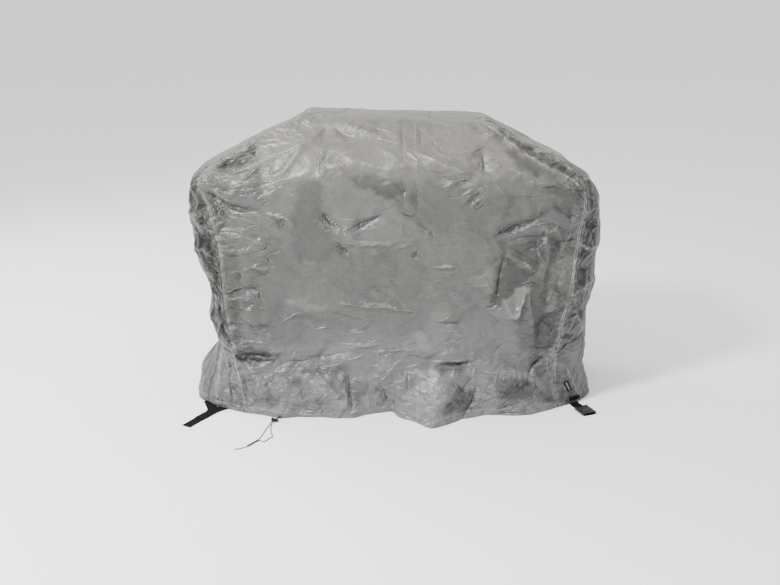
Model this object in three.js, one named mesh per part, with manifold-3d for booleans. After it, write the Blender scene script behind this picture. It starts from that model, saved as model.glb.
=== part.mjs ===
// A fitted barbecue cover of coated polyester, draped as it hangs over a hooded grill.
// Millimetres, +Z up, +X to the right of someone facing the front, which looks along -Y.
// The cover is worked out standing on a floor at height 0, then lowered so that the part's
// origin lies on the inner face of its top, where the grill's hood holds it up.

import * as THREE from "three";
import { mergeVertices } from "three/addons/utils/BufferGeometryUtils.js";
import Module from "manifold-3d";

// Driving dimensions
const CLOTH = 2; // thickness of the coated cloth
const SEAM_GAP = 0.3; // clear gap between two pieces that are sewn together
const SHOULDER_Z = 800; // where the upright walls end and the sloping hood begins
const TOP_LEFT_Z = 1048; // height of the top's left and right end
const TOP_RIGHT_Z = 1030;
const TOP_CROWN = 12; // how far the top's middle line stands above its front and back edge
const WALL_ROWS = 19; // rows of faces up a wall, up the hood, and over the top
const HOOD_ROWS = 9;
const TOP_ROWS = 8;
const COLUMNS = 34; // columns of faces across the front, the top and the back
const RISE_ROWS = WALL_ROWS + HOOD_ROWS;
const LAST_ROW = 2 * RISE_ROWS + TOP_ROWS;
// Height of the inner face over the middle of the grill
const MOUNT_Z = (TOP_LEFT_Z + TOP_RIGHT_Z) / 2 + TOP_CROWN - CLOTH / 2;

const WEBBING = { width: 38, thickness: 1.6 };
const CORD_DIAMETER = 3;

// Turns a table's rows into records with the named columns.
function table(columns, rows) {
  const names = columns.split(" ");
  return rows.map((row) => Object.fromEntries(names.map((name, i) => [name, row[i]])));
}

// The end panels, a row for each height: the widest point at mid depth, the front seam's x,
// the seam's distance in front of the middle, how squarely the panel turns its corner, and how
// much closer to the middle it has drawn in at its back seam, as a share.
const LEFT_END = table("z widest seam depth square drawn", [
  [0, -759, -535, 298, 3.8, 0],
  [45, -751, -541, 296, 3.6, 0],
  [96, -722, -551, 290, 3.2, 0],
  [146, -690, -562, 284, 3.0, 0],
  [200, -678, -577, 279, 2.8, 0],
  [295, -688, -592, 275, 2.6, 0],
  [416, -686, -607, 274, 2.6, 0],
  [511, -722, -609, 274, 2.6, 0],
  [604, -741, -615, 274, 2.6, 0],
  [696, -750, -634, 274, 2.6, 0],
  [765, -748, -648, 272, 2.6, 0],
  [809, -741, -670, 268, 2.6, 0],
  [845, -714, -678, 255, 2.6, 0],
  [880, -666, -656, 240, 2.4, 0.05],
  [901, -619, -626, 224, 2.2, 0.07],
  [940, -536, -550, 200, 2.0, 0.085],
  [985, -453, -468, 175, 2.0, 0.095],
  [1029, -353, -371, 152, 2.0, 0.1],
  [1048, -314, -314, 142, 2.0, 0.04],
]);
const RIGHT_END = table("z widest seam depth square drawn", [
  [0, 756, 597, 244, 3.1, 0],
  [45, 745, 590, 250, 3.0, 0],
  [96, 731, 577, 262, 2.9, 0],
  [146, 726, 573, 270, 2.8, 0],
  [200, 728, 571, 275, 2.7, 0],
  [295, 727, 590, 276, 2.6, 0],
  [416, 736, 611, 274, 2.6, 0],
  [511, 744, 628, 274, 2.6, 0],
  [604, 750, 634, 274, 2.6, 0],
  [696, 749, 645, 274, 2.6, 0],
  [765, 744, 656, 272, 2.6, 0],
  [809, 714, 652, 268, 2.6, 0],
  [832, 691, 646, 262, 2.5, 0],
  [876, 626, 611, 246, 2.4, 0.035],
  [900, 598, 590, 230, 2.3, 0.055],
  [940, 514, 498, 200, 2.2, 0.06],
  [985, 421, 400, 176, 2.1, 0.06],
  [1022, 343, 328, 152, 2.0, 0.06],
  [1030, 320, 312, 142, 2.0, 0.04],
]);

// How far the front stands before the middle and the back behind it, half way across.
const FACE_DEPTH = table("z front back", [
  [0, 330, 326],
  [50, 327, 322],
  [100, 318, 313],
  [150, 304, 302],
  [200, 293, 297],
  [260, 290, 296],
  [300, 294, 296],
  [700, 299, 300],
  [780, 303, 304],
  [840, 304, 303],
  [870, 296, 294],
  [920, 258, 257],
  [970, 212, 213],
  [1020, 166, 167],
  [1048, 144, 144],
]);
const FACE_SQUARE = 6; // how squarely the front and the back turn towards their seams

// How much higher the hood's lower edge shows in the front than the depths above give it, and
// the heights between which this comes in and fades out again.
const LID_LINE = table("x rise", [
  [-650, -32],
  [-450, -26],
  [-250, 30],
  [-100, 48],
  [0, 38],
  [150, 24],
  [300, 6],
  [450, -8],
  [650, -24],
]);
const LID_COMES = [740, 830];
const LID_FADES = [900, 1010];

// Where the front hem lies on the floor: a notch left of the middle, then a kicked-out bulge.
// The hem's own line has faded out of the face at the height called reach.
const FRONT_HEM = table("x y reach", [
  [-535, -298, 215],
  [-477, -315, 210],
  [-387, -338, 190],
  [-270, -331, 165],
  [-156, -338, 150],
  [-110, -308, 140],
  [-45, -288, 140],
  [-15, -283, 150],
  [17, -338, 170],
  [74, -373, 190],
  [129, -420, 200],
  [170, -404, 205],
  [217, -373, 200],
  [277, -341, 185],
  [337, -318, 160],
  [423, -323, 140],
  [482, -315, 150],
  [544, -284, 180],
  [597, -244, 210],
]);
const BACK_HEM = table("x y reach", [
  [-535, 300, 200],
  [-380, 338, 160],
  [-230, 318, 190],
  [-70, 344, 150],
  [110, 322, 200],
  [290, 346, 170],
  [440, 318, 150],
  [597, 262, 200],
]);

// Folds, a row each: a curve through three points of a panel, half its width, and how far it
// stands out, or in where negative. Across, a panel is measured by x, or on the end panels by
// the distance round from the front seam. Up, it is measured by height.
const FOLD_COLUMNS = "x1 z1 x2 z2 x3 z3 half out";
const FRONT_FOLDS = table(FOLD_COLUMNS, [
  [-640, 822, -585, 772, -440, 750, 28, -20],
  [-610, 838, -560, 806, -440, 790, 30, 12],
  [-445, 750, -394, 739, -347, 715, 28, -9],
  [-628, 775, -600, 745, -566, 705, 28, -12],
  [-590, 925, -541, 912, -480, 922, 28, -12],
  [-508, 861, -420, 910, -259, 988, 28, 15],
  [-440, 862, -374, 889, -322, 951, 28, 9],
  [-470, 1010, -455, 900, -452, 790, 28, -5],
  [-255, 975, -256, 920, -253, 862, 28, -14],
  [-190, 1030, -105, 1007, -40, 988, 28, 11],
  [-170, 906, -60, 886, 30, 872, 30, -14],
  [-165, 935, -60, 915, 20, 903, 28, 8],
  [30, 957, 150, 913, 275, 872, 28, 15],
  [60, 890, 160, 868, 300, 872, 30, -11],
  [300, 945, 296, 915, 300, 880, 28, -12],
  [200, 950, 250, 945, 300, 962, 28, 8],
  [-260, 752, -215, 716, -170, 690, 28, -14],
  [-170, 690, -110, 712, -35, 748, 28, -14],
  [-215, 660, -181, 624, -147, 591, 28, -11],
  [-211, 672, -100, 642, 57, 656, 28, 9],
  [-36, 850, 20, 808, 92, 752, 40, 11],
  [345, 662, 412, 697, 515, 741, 28, -16],
  [380, 700, 450, 735, 540, 775, 30, 11],
  [377, 636, 470, 662, 572, 652, 28, -9],
  [385, 612, 362, 526, 357, 425, 34, -15],
  [400, 445, 425, 380, 455, 470, 34, 12],
  [465, 560, 470, 400, 492, 255, 30, 11],
  [-605, 445, -544, 464, -460, 484, 28, -9],
  [-395, 436, -318, 416, -226, 438, 28, 8],
  [-195, 428, -72, 412, 80, 394, 30, 8],
  [-205, 330, -120, 318, -30, 330, 28, -8],
  [-210, 268, -60, 258, 90, 250, 30, 11],
  [137, 352, 193, 344, 240, 358, 28, -8],
  [-600, 214, -503, 217, -405, 222, 28, -19],
  [-590, 258, -500, 274, -410, 246, 30, 16],
  [-400, 196, -288, 208, -165, 236, 28, -12],
  [-350, 206, -262, 140, -175, 50, 46, 18],
  [-170, 165, -160, 93, -156, 20, 28, -15],
  [130, 196, 204, 188, 290, 200, 28, -16],
  [120, 232, 204, 226, 300, 236, 28, 12],
  [150, 178, 175, 95, 130, 10, 40, 16],
  [290, 130, 284, 70, 245, 5, 34, -19],
  [470, 138, 513, 190, 566, 212, 28, -14],
  [380, 105, 440, 88, 500, 120, 36, 12],
  [-560, 180, -541, 107, -520, 20, 28, -11],
  [-490, 165, -470, 95, -440, 20, 34, 11],
]);
const BACK_FOLDS = table(FOLD_COLUMNS, [
  [-610, 810, -520, 745, -380, 735, 30, -18],
  [-480, 870, -360, 905, -220, 985, 28, 12],
  [-300, 760, -180, 690, -20, 720, 34, -14],
  [-60, 960, 60, 905, 220, 890, 30, 12],
  [-40, 870, 120, 850, 330, 862, 32, -11],
  [340, 640, 430, 700, 560, 760, 32, -16],
  [-470, 560, -440, 420, -470, 250, 40, 12],
  [-180, 520, -60, 480, 90, 520, 34, -11],
  [150, 620, 180, 450, 150, 300, 42, 12],
  [380, 520, 350, 380, 370, 200, 38, -14],
  [-560, 230, -430, 240, -300, 215, 30, -15],
  [-330, 200, -300, 110, -260, 10, 44, 16],
  [-120, 210, -90, 110, -70, 10, 42, -16],
  [60, 190, 200, 210, 340, 180, 32, -12],
  [120, 170, 140, 90, 110, 10, 46, 16],
  [300, 150, 330, 80, 290, 10, 40, -14],
  [480, 190, 500, 110, 460, 10, 38, 12],
]);
const TOP_FOLDS = table("x1 y1 x2 y2 x3 y3 half out", [
  [-250, -120, -190, 0, -210, 120, 30, -6],
  [-60, -110, -40, 10, -70, 110, 34, 4],
  [150, -130, 120, -10, 160, 120, 30, -6],
]);
const LEFT_FOLDS = table(FOLD_COLUMNS, [
  [0, 812, 60, 862, 150, 880, 28, -14],
  [0, 760, 90, 730, 230, 700, 28, 12],
  [0, 668, 70, 636, 170, 640, 28, -12],
  [10, 560, 90, 596, 210, 560, 30, 12],
  [0, 455, 100, 470, 240, 430, 30, -11],
  [40, 360, 150, 330, 320, 350, 36, 11],
  [0, 226, 110, 214, 260, 224, 28, -16],
  [60, 190, 70, 100, 66, 10, 28, -14],
  [115, 180, 125, 100, 130, 10, 28, 14],
  [170, 190, 180, 100, 190, 10, 28, -12],
  [300, 640, 350, 480, 320, 300, 44, -12],
  [420, 250, 440, 120, 430, 10, 44, 15],
  [300, 200, 310, 100, 300, 10, 40, -14],
  [180, 950, 330, 930, 420, 900, 34, 11],
]);
const RIGHT_FOLDS = table(FOLD_COLUMNS, [
  [0, 806, 80, 800, 190, 790, 28, -16],
  [0, 850, 110, 842, 260, 850, 28, 11],
  [0, 722, 60, 690, 150, 664, 28, -14],
  [0, 640, 80, 606, 190, 590, 28, 12],
  [0, 552, 90, 520, 200, 530, 28, -11],
  [10, 430, 110, 470, 240, 440, 30, 11],
  [0, 330, 100, 352, 250, 330, 30, -11],
  [0, 226, 70, 238, 200, 262, 28, -12],
  [60, 160, 90, 90, 100, 10, 34, 11],
  [300, 620, 340, 460, 310, 300, 44, 12],
  [240, 230, 250, 120, 250, 10, 40, -14],
  [420, 260, 440, 130, 430, 10, 44, 14],
  [160, 960, 300, 925, 400, 900, 34, -9],
]);
const SEAM_HOLD = 0.45; // share of a fold that still shows where a seam stiffens the cloth
const SEAM_REACH = 45; // distance from a seam over which a fold comes to its full depth
const FACE_SPAN = 1200; // about how far the front and back seams lie apart
const FOLD_END = 0.92; // share of a fold's length at which its end has come down
const FOLD_REACH = 2.2; // where a fold has died out beside its line, in half widths
const FOLD_CREST = 0.7; // where it still has half its height, in half widths
const FOLD_TAPER = 0.6; // how bluntly it ends

// Gentle waviness of the whole cloth: two waves, each the product of two ripples. A ripple's
// phase starts at its shift and gains a radian over each of these lengths.
const UNEVENNESS = 3.6;
const SECOND_WAVE = 0.7; // the second wave's share of the first
const RIPPLES = table("x y z shift", [
  [61, Infinity, 97, 0.7],
  [Infinity, -71, 53, Math.PI / 2],
  [-83, Infinity, 37, 2.1],
  [59, 47, Infinity, 1.3],
]);
const CALM = [20, 120]; // distances from the middle between which the waviness comes in

// Places where a strap or the drawcord leaves under the hem and props it off the floor.
const HEM_LIFTS = table("x y radius lift", [
  [-668, -244, 115, 11],
  [672, -204, 105, 9],
  [-415, -330, 60, 7],
]);

// Smooth curve through a table's rows: the value of one column at a place along another.
function along(rows, key, at, column) {
  const last = rows.length - 1;
  const place = THREE.MathUtils.clamp(at, rows[0][key], rows[last][key]);
  let i = 0;
  while (i < last - 1 && place > rows[i + 1][key]) i += 1;
  const rate = (a, b) => (rows[b][column] - rows[a][column]) / (rows[b][key] - rows[a][key]);
  const step = rows[i + 1][key] - rows[i][key];
  const t = (place - rows[i][key]) / step;
  const inner = rate(i, i + 1);
  const start = i > 0 ? softer(rate(i - 1, i), inner) : inner;
  const end = i + 1 < last ? softer(inner, rate(i + 1, i + 2)) : inner;
  const rise = rows[i + 1][column] - rows[i][column];
  const a = start * step - rise;
  const b = rise - end * step;
  return rows[i][column] + t * rise + t * (1 - t) * (a * (1 - t) + b * t);
}

// Slope at a row from the slopes on its two sides, without overshooting either.
function softer(before, after) {
  return before * after <= 0 ? 0 : (2 * before * after) / (before + after);
}

// Nearest place on a fold's curve: the distance from it, and how far along it lies from 0 to 1.
function nearCurve(points, u, v) {
  const pieces = 10;
  let best = { distance: Infinity, along: 0 };
  for (let i = 0; i < pieces; i += 1) {
    const a = bend(points, i / pieces);
    const b = bend(points, (i + 1) / pieces);
    const du = b[0] - a[0];
    const dv = b[1] - a[1];
    const raw = ((u - a[0]) * du + (v - a[1]) * dv) / (du * du + dv * dv);
    const t = THREE.MathUtils.clamp(raw, 0, 1);
    const distance = Math.hypot(u - a[0] - t * du, v - a[1] - t * dv);
    if (distance < best.distance) best = { distance, along: (i + t) / pieces };
  }
  return best;
}

// A point of the curved line that passes through a fold's three points.
function bend(points, t) {
  const [a, b, c] = points;
  const blend = (k) =>
    a[k] * (1 - t) * (1 - 2 * t) + b[k] * 4 * t * (1 - t) + c[k] * t * (2 * t - 1);
  return [blend(0), blend(1)];
}

// How far the folds of a table push the cloth out at a place on its panel.
function foldDepth(folds, u, v) {
  let depth = 0;
  for (const fold of folds) {
    const [x1, z1, x2, z2, x3, z3, half, out] = Object.values(fold);
    const near = nearCurve([[x1, z1], [x2, z2], [x3, z3]], u, v);
    if (near.distance > FOLD_REACH * half) continue;
    const place = THREE.MathUtils.clamp(near.along, 1 - FOLD_END, FOLD_END);
    const ends = Math.sin(Math.PI * place) ** FOLD_TAPER;
    const across = 1 / (1 + (near.distance / (FOLD_CREST * half)) ** 2);
    const fade = 1 - (near.distance / (FOLD_REACH * half)) ** 2;
    depth += out * ends * across * fade;
  }
  return depth;
}

// Long, low waves that keep any stretch of cloth from being flat.
function waviness(point) {
  const [a, b, c, d] = RIPPLES.map(({ x, y, z, shift }) =>
    Math.sin(point.x / x + point.y / y + point.z / z + shift),
  );
  return UNEVENNESS * (a * b + SECOND_WAVE * c * d);
}

// Height of a row at the left and at the right: the hood's rows share out the uneven top.
function rowHeight(k) {
  if (k <= WALL_ROWS) {
    const z = (SHOULDER_Z * k) / WALL_ROWS;
    return { left: z, right: z };
  }
  const t = (k - WALL_ROWS) / HOOD_ROWS;
  const rise = (top) => SHOULDER_Z + (top - SHOULDER_Z) * t;
  return { left: rise(TOP_LEFT_Z), right: rise(TOP_RIGHT_Z) };
}

// A point of an end panel: v runs from -1 at the front seam to 1 at the back seam.
function endPoint(end, z, v) {
  const widest = along(end, "z", z, "widest");
  const seam = along(end, "z", z, "seam");
  const depth = along(end, "z", z, "depth");
  const square = along(end, "z", z, "square");
  const crown = THREE.MathUtils.smoothstep(z, SHOULDER_Z, TOP_RIGHT_Z) * TOP_CROWN;
  const drawnIn = 1 - along(end, "z", z, "drawn") * Math.max(v, 0);
  const turn = Math.abs(v) ** square;
  return new THREE.Vector3(
    (widest + (seam - widest) * turn) * drawnIn,
    v * depth,
    z + crown * (1 - v * v),
  );
}

// A point of the front or the back: u runs from 0 at the left seam to 1 at the right seam.
function facePoint(k, u, face) {
  const height = rowHeight(k);
  const side = face === "front" ? -1 : 1;
  const left = endPoint(LEFT_END, height.left, side);
  const right = endPoint(RIGHT_END, height.right, side);
  const point = left.clone().lerp(right, u);
  const depth = side * along(FACE_DEPTH, "z", point.z - lidRise(point, face), face);
  const turn = Math.abs(2 * u - 1) ** FACE_SQUARE;
  const seamY = u < 0.5 ? left.y : right.y;
  point.y = depth + (seamY - depth) * turn;
  const hem = face === "front" ? FRONT_HEM : BACK_HEM;
  const flare = THREE.MathUtils.clamp(1 - point.z / along(hem, "x", point.x, "reach"), 0, 1);
  point.y += flare * (along(hem, "x", point.x, "y") - point.y);
  return point;
}

// How much higher the hood's lower edge runs at a place of the front.
function lidRise(point, face) {
  if (face === "back") return 0;
  const comes = THREE.MathUtils.smoothstep(point.z, ...LID_COMES);
  const fades = 1 - THREE.MathUtils.smoothstep(point.z, ...LID_FADES);
  return comes * fades * along(LID_LINE, "x", point.x, "rise");
}

// A point of the top, between the two end panels' upper edges.
function topPoint(v, u) {
  const left = endPoint(LEFT_END, TOP_LEFT_Z, v);
  const right = endPoint(RIGHT_END, TOP_RIGHT_Z, v);
  return left.lerp(right, u);
}

// Where the columns of an end panel lie: closer together where it turns its corners.
function endShare(j) {
  return Math.sin((Math.PI / 2) * ((2 * j) / TOP_ROWS - 1));
}

// The whole cover as one net of shared points, and each panel as a grid of their numbers.
function weaveNet() {
  const points = [];
  const add = (point) => points.push(point) - 1;
  const front = (k, u) => facePoint(k, u, "front");
  const back = (k, u) => facePoint(k, u, "back");
  const main = [];
  for (let r = 0; r <= LAST_ROW; r += 1) {
    const row = [];
    for (let c = 0; c <= COLUMNS; c += 1) {
      const u = c / COLUMNS;
      if (r <= RISE_ROWS) row.push(add(front(r, u)));
      else if (r < RISE_ROWS + TOP_ROWS) row.push(add(topPoint(endShare(r - RISE_ROWS), u)));
      else row.push(add(back(LAST_ROW - r, u)));
    }
    main.push(row);
  }
  const endGrid = (end, side, column) => {
    const grid = [];
    for (let k = 0; k <= RISE_ROWS; k += 1) {
      const row = [];
      for (let j = 0; j <= TOP_ROWS; j += 1) {
        if (j === 0) row.push(main[k][column]);
        else if (j === TOP_ROWS) row.push(main[LAST_ROW - k][column]);
        else if (k === RISE_ROWS) row.push(main[RISE_ROWS + j][column]);
        else row.push(add(endPoint(end, rowHeight(k)[side], endShare(j))));
      }
      grid.push(row);
    }
    return grid;
  };
  return {
    points,
    main,
    left: endGrid(LEFT_END, "left", 0),
    right: endGrid(RIGHT_END, "right", COLUMNS),
  };
}

// The two triangles of a grid's cell, facing out of the cover.
function cellTriangles(grid, r, c, flip) {
  const [a, b, d, e] = [grid[r][c], grid[r][c + 1], grid[r + 1][c + 1], grid[r + 1][c]];
  const faces = (r + c) % 2 ? [[a, b, d], [a, d, e]] : [[a, b, e], [b, d, e]];
  return flip ? faces.map(([p, q, s]) => [p, s, q]) : faces;
}

// Every triangle of a grid, facing out.
function gridTriangles(grid, flip) {
  const faces = [];
  for (let r = 0; r + 1 < grid.length; r += 1)
    for (let c = 0; c + 1 < grid[0].length; c += 1) faces.push(...cellTriangles(grid, r, c, flip));
  return faces;
}

// The direction that points out of the cloth at each of the net's points.
function outwardNormals(net) {
  const normals = net.points.map(() => new THREE.Vector3());
  const faces = [
    ...gridTriangles(net.main, false),
    ...gridTriangles(net.left, true),
    ...gridTriangles(net.right, false),
  ];
  const triangle = new THREE.Triangle();
  const cross = new THREE.Vector3();
  const side = new THREE.Vector3();
  for (const [a, b, c] of faces) {
    triangle.set(net.points[a], net.points[b], net.points[c]);
    side.subVectors(triangle.c, triangle.a);
    cross.subVectors(triangle.b, triangle.a).cross(side);
    for (const i of [a, b, c]) normals[i].add(cross);
  }
  for (const i of hemNumbers(net)) normals[i].setZ(0);
  return normals.map((normal) => normal.normalize());
}

// The net's points that lie on the hem.
function hemNumbers(net) {
  return [...net.main[0], ...net.main[LAST_ROW], ...net.left[0], ...net.right[0]];
}

// How far the folds move each point of the net, measured on its own panel.
function foldNet(net) {
  const move = new Array(net.points.length).fill(0);
  const hold = (distance) =>
    SEAM_HOLD + (1 - SEAM_HOLD) * THREE.MathUtils.smoothstep(distance, 0, SEAM_REACH);
  net.main.forEach((row, r) => {
    row.forEach((i, c) => {
      const point = net.points[i];
      const toSeam = (Math.min(c, COLUMNS - c) * FACE_SPAN) / COLUMNS;
      if (r <= RISE_ROWS) move[i] = foldDepth(FRONT_FOLDS, point.x, point.z);
      else if (r < RISE_ROWS + TOP_ROWS) move[i] = foldDepth(TOP_FOLDS, point.x, point.y);
      else move[i] = foldDepth(BACK_FOLDS, point.x, point.z);
      move[i] *= hold(toSeam);
    });
  });
  const foldEnd = (grid, folds) => {
    for (const row of grid.slice(0, -1)) {
      let round = 0;
      for (let j = 1; j < TOP_ROWS; j += 1) {
        round += net.points[row[j]].distanceTo(net.points[row[j - 1]]);
        move[row[j]] = foldDepth(folds, round, net.points[row[j]].z) * hold(round);
      }
    }
  };
  foldEnd(net.left, LEFT_FOLDS);
  foldEnd(net.right, RIGHT_FOLDS);
  return move;
}

// Puts the folds and the waviness into the net, then sets its hem down on the floor.
function drapeNet() {
  const net = weaveNet();
  const normals = outwardNormals(net);
  const move = foldNet(net);
  net.points.forEach((point, i) => {
    const ease = THREE.MathUtils.smoothstep(Math.hypot(point.x, point.y), ...CALM);
    point.addScaledVector(normals[i], move[i] + waviness(point) * ease);
  });
  for (const i of hemNumbers(net)) net.points[i].z = hemHeight(net.points[i]);
  net.normals = outwardNormals(net);
  return net;
}

// Height of the hem above the floor, which is 0 but for where something props it up.
function hemHeight(point) {
  const raised = HEM_LIFTS.map((spot) => {
    const away = Math.hypot(point.x - spot.x, point.y - spot.y) / spot.radius;
    return away < 1 ? spot.lift * Math.cos((away * Math.PI) / 2) ** 2 : 0;
  });
  return Math.max(...raised);
}

// For each point of a seam line, the direction across the seam into the main panel.
function seamInsets(net, column, inwards) {
  const line = net.main.map((row) => row[column]);
  const insets = new Map();
  line.forEach((i, r) => {
    const before = net.points[line[Math.max(r - 1, 0)]];
    const after = net.points[line[Math.min(r + 1, line.length - 1)]];
    const run = new THREE.Vector3().subVectors(after, before).normalize();
    const across = new THREE.Vector3().crossVectors(net.normals[i], run).normalize();
    if (across.x * inwards < 0) across.negate();
    insets.set(i, across.multiplyScalar(SEAM_GAP / 2));
  });
  return insets;
}

// One panel as a closed solid: an outer and an inner face, and a rim that joins them.
function panelSolid(net, grid, flip, insets, sign) {
  const width = grid[0].length;
  const outer = [];
  const inner = [];
  for (const i of grid.flat()) {
    const inset = insets.get(i) ?? new THREE.Vector3();
    const middle = net.points[i].clone().addScaledVector(inset, sign);
    outer.push(middle.clone().addScaledVector(net.normals[i], CLOTH / 2));
    inner.push(middle.clone().addScaledVector(net.normals[i], -CLOTH / 2));
  }
  const local = grid.map((row, r) => row.map((_, c) => r * width + c));
  const behind = outer.length;
  const faces = gridTriangles(local, flip);
  const index = faces.flatMap(([a, b, c]) => [a, b, c, a + behind, c + behind, b + behind]);
  for (const [from, to] of rimEdges(local, flip)) index.push(...rimFaces(outer, behind, from, to));
  return solidGeometry([...outer, ...inner], index);
}

// The edges around a grid, each in the direction in which its outer face runs along it.
function rimEdges(local, flip) {
  const edges = [];
  const top = local.length - 1;
  const end = local[0].length - 1;
  for (let c = 0; c < end; c += 1) {
    edges.push([local[0][c], local[0][c + 1]]);
    edges.push([local[top][c + 1], local[top][c]]);
  }
  for (let r = 0; r < top; r += 1) {
    edges.push([local[r][end], local[r + 1][end]]);
    edges.push([local[r + 1][0], local[r][0]]);
  }
  return flip ? edges.map(([from, to]) => [to, from]) : edges;
}

// The rim's two triangles at an edge. Both panels at a seam split them the same way, so that
// the gap between the panels stays even. A point's order is its height along a sloping line,
// which no seam edge lies level across.
const ORDER_SLOPE = 0.3;

function rimFaces(outer, behind, from, to) {
  const order = (point) => point.z + ORDER_SLOPE * point.y;
  if (order(outer[from]) < order(outer[to]))
    return [to, from, from + behind, to, from + behind, to + behind];
  return [to, from, to + behind, from, from + behind, to + behind];
}

function solidGeometry(points, index) {
  const geometry = new THREE.BufferGeometry();
  geometry.setAttribute(
    "position",
    new THREE.Float32BufferAttribute(points.flatMap((point) => point.toArray()), 3),
  );
  geometry.setIndex(index);
  geometry.computeVertexNormals();
  return geometry;
}

// A place on a panel's cloth between its points: row and column numbers may be fractions.
function placeOn(net, grid, row, column, out) {
  const r = Math.min(Math.floor(row), grid.length - 2);
  const c = Math.min(Math.floor(column), grid[0].length - 2);
  const mix = (values) => {
    const low = values[grid[r][c]].clone().lerp(values[grid[r][c + 1]], column - c);
    const high = values[grid[r + 1][c]].clone().lerp(values[grid[r + 1][c + 1]], column - c);
    return low.lerp(high, row - r);
  };
  return mix(net.points).addScaledVector(mix(net.normals).normalize(), out);
}

// A flat band along a route. Each stop gives its place and the band's width direction.
function bandGeometry(stops, width, thickness) {
  const points = [];
  stops.forEach((stop, i) => {
    const before = stops[Math.max(i - 1, 0)].at;
    const after = stops[Math.min(i + 1, stops.length - 1)].at;
    const run = new THREE.Vector3().subVectors(after, before).normalize();
    const across = stop.across.clone().normalize();
    const up = new THREE.Vector3().crossVectors(across, run).normalize();
    for (const [side, lift] of [[1, 1], [-1, 1], [-1, -1], [1, -1]]) {
      const corner = stop.at.clone().addScaledVector(across, (side * width) / 2);
      points.push(corner.addScaledVector(up, (lift * thickness) / 2));
    }
  });
  const index = [0, 1, 2, 0, 2, 3];
  for (let i = 0; i + 1 < stops.length; i += 1)
    for (let k = 0; k < 4; k += 1) {
      const a = 4 * i + k;
      const b = 4 * i + ((k + 1) % 4);
      index.push(a, a + 4, b, b, a + 4, b + 4);
    }
  const last = 4 * (stops.length - 1);
  index.push(last, last + 2, last + 1, last, last + 3, last + 2);
  return facingOut(solidGeometry(points, index));
}

// Turns a solid's faces round if they point into it.
function facingOut(geometry) {
  const place = geometry.attributes.position;
  const order = geometry.index.array;
  const corner = (n) => new THREE.Vector3().fromBufferAttribute(place, order[n]);
  let volume = 0;
  for (let n = 0; n < order.length; n += 3)
    volume += corner(n).dot(corner(n + 1).cross(corner(n + 2)));
  if (volume < 0)
    for (let n = 0; n < order.length; n += 3)
      [order[n + 1], order[n + 2]] = [order[n + 2], order[n + 1]];
  geometry.computeVertexNormals();
  return geometry;
}

// The stops of a smooth route whose rows give x, y and z. The band lies level across it, or
// along the direction given.
function routeStops(rows, perRow, across) {
  const curve = new THREE.CatmullRomCurve3(rows.map((row) => new THREE.Vector3(...row)));
  const count = perRow * (rows.length - 1);
  const stops = [];
  for (let i = 0; i <= count; i += 1) {
    const run = curve.getTangent(i / count);
    const level = new THREE.Vector3(-run.y, run.x, 0);
    stops.push({ at: curve.getPoint(i / count), across: across ?? level });
  }
  return stops;
}

// Webbing laid on the floor.
function layWebbing(rows) {
  return bandGeometry(routeStops(rows, 4), WEBBING.width, WEBBING.thickness);
}

// The drawcord's two ends: from the hem, through the lock and over the floor.
const FLOOR_CORD_Z = 1.6; // height of a cord's middle where it lies on the floor
const LONG_END = [
  [-413.5, -345.6, 8],
  [-418, -353.8, 7.6],
  [-424, -363, 7.4],
  [-435, -380.6, 7.2],
  [-439.5, -390, 5.2],
  [-440.5, -401, 2.4],
  [-439.5, -418, FLOOR_CORD_Z],
  [-437, -440, FLOOR_CORD_Z],
  [-433, -463, FLOOR_CORD_Z],
  [-427, -482, FLOOR_CORD_Z],
  [-427, -495, FLOOR_CORD_Z],
  [-436, -506, FLOOR_CORD_Z],
  [-443, -520, FLOOR_CORD_Z],
  [-450, -529, FLOOR_CORD_Z],
  [-459, -524, FLOOR_CORD_Z],
  [-467, -521, FLOOR_CORD_Z],
  [-474, -526, FLOOR_CORD_Z],
  [-487, -546, FLOOR_CORD_Z],
  [-499, -562, FLOOR_CORD_Z],
  [-512, -572, FLOOR_CORD_Z],
  [-526, -580, FLOOR_CORD_Z],
  [-543, -586, FLOOR_CORD_Z],
];
const SHORT_END = [
  [-417.5, -344, 8],
  [-421.5, -352, 7.6],
  [-427.2, -361, 7.4],
  [-438.2, -378.6, 7.2],
  [-444, -389, 5.2],
  [-448, -404, 2.4],
  [-453, -425, FLOOR_CORD_Z],
  [-457, -448, FLOOR_CORD_Z],
  [-461, -470, FLOOR_CORD_Z],
  [-465, -492, FLOOR_CORD_Z],
  [-471, -512, FLOOR_CORD_Z],
  [-482, -529, FLOOR_CORD_Z],
  [-493, -545, FLOOR_CORD_Z],
  [-504, -558, FLOOR_CORD_Z],
];
const CORD_STEP = 7.5;
const CORD_SIDES = 8;

function cordGeometry(route) {
  const curve = new THREE.CatmullRomCurve3(route.map((row) => new THREE.Vector3(...row)));
  const section = new THREE.Shape();
  section.absarc(0, 0, CORD_DIAMETER / 2, 0, 2 * Math.PI);
  return new THREE.ExtrudeGeometry(section, {
    steps: Math.round(curve.getLength() / CORD_STEP),
    curveSegments: CORD_SIDES / 2, // a whole circle takes two sides for each
    extrudePath: curve,
  });
}

const wasm = await Module();
wasm.setup();
const SAME_POINT = 1e-4; // points closer together than this are merged

// A closed geometry as a solid that can be cut.
function toSolid(geometry) {
  const bare = geometry.clone();
  bare.deleteAttribute("normal");
  bare.deleteAttribute("uv");
  const merged = mergeVertices(bare.index ? bare.toNonIndexed() : bare, SAME_POINT);
  return new wasm.Manifold(
    new wasm.Mesh({
      numProp: 3,
      vertProperties: merged.attributes.position.array,
      triVerts: new Uint32Array(merged.index.array),
    }),
  );
}

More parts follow.
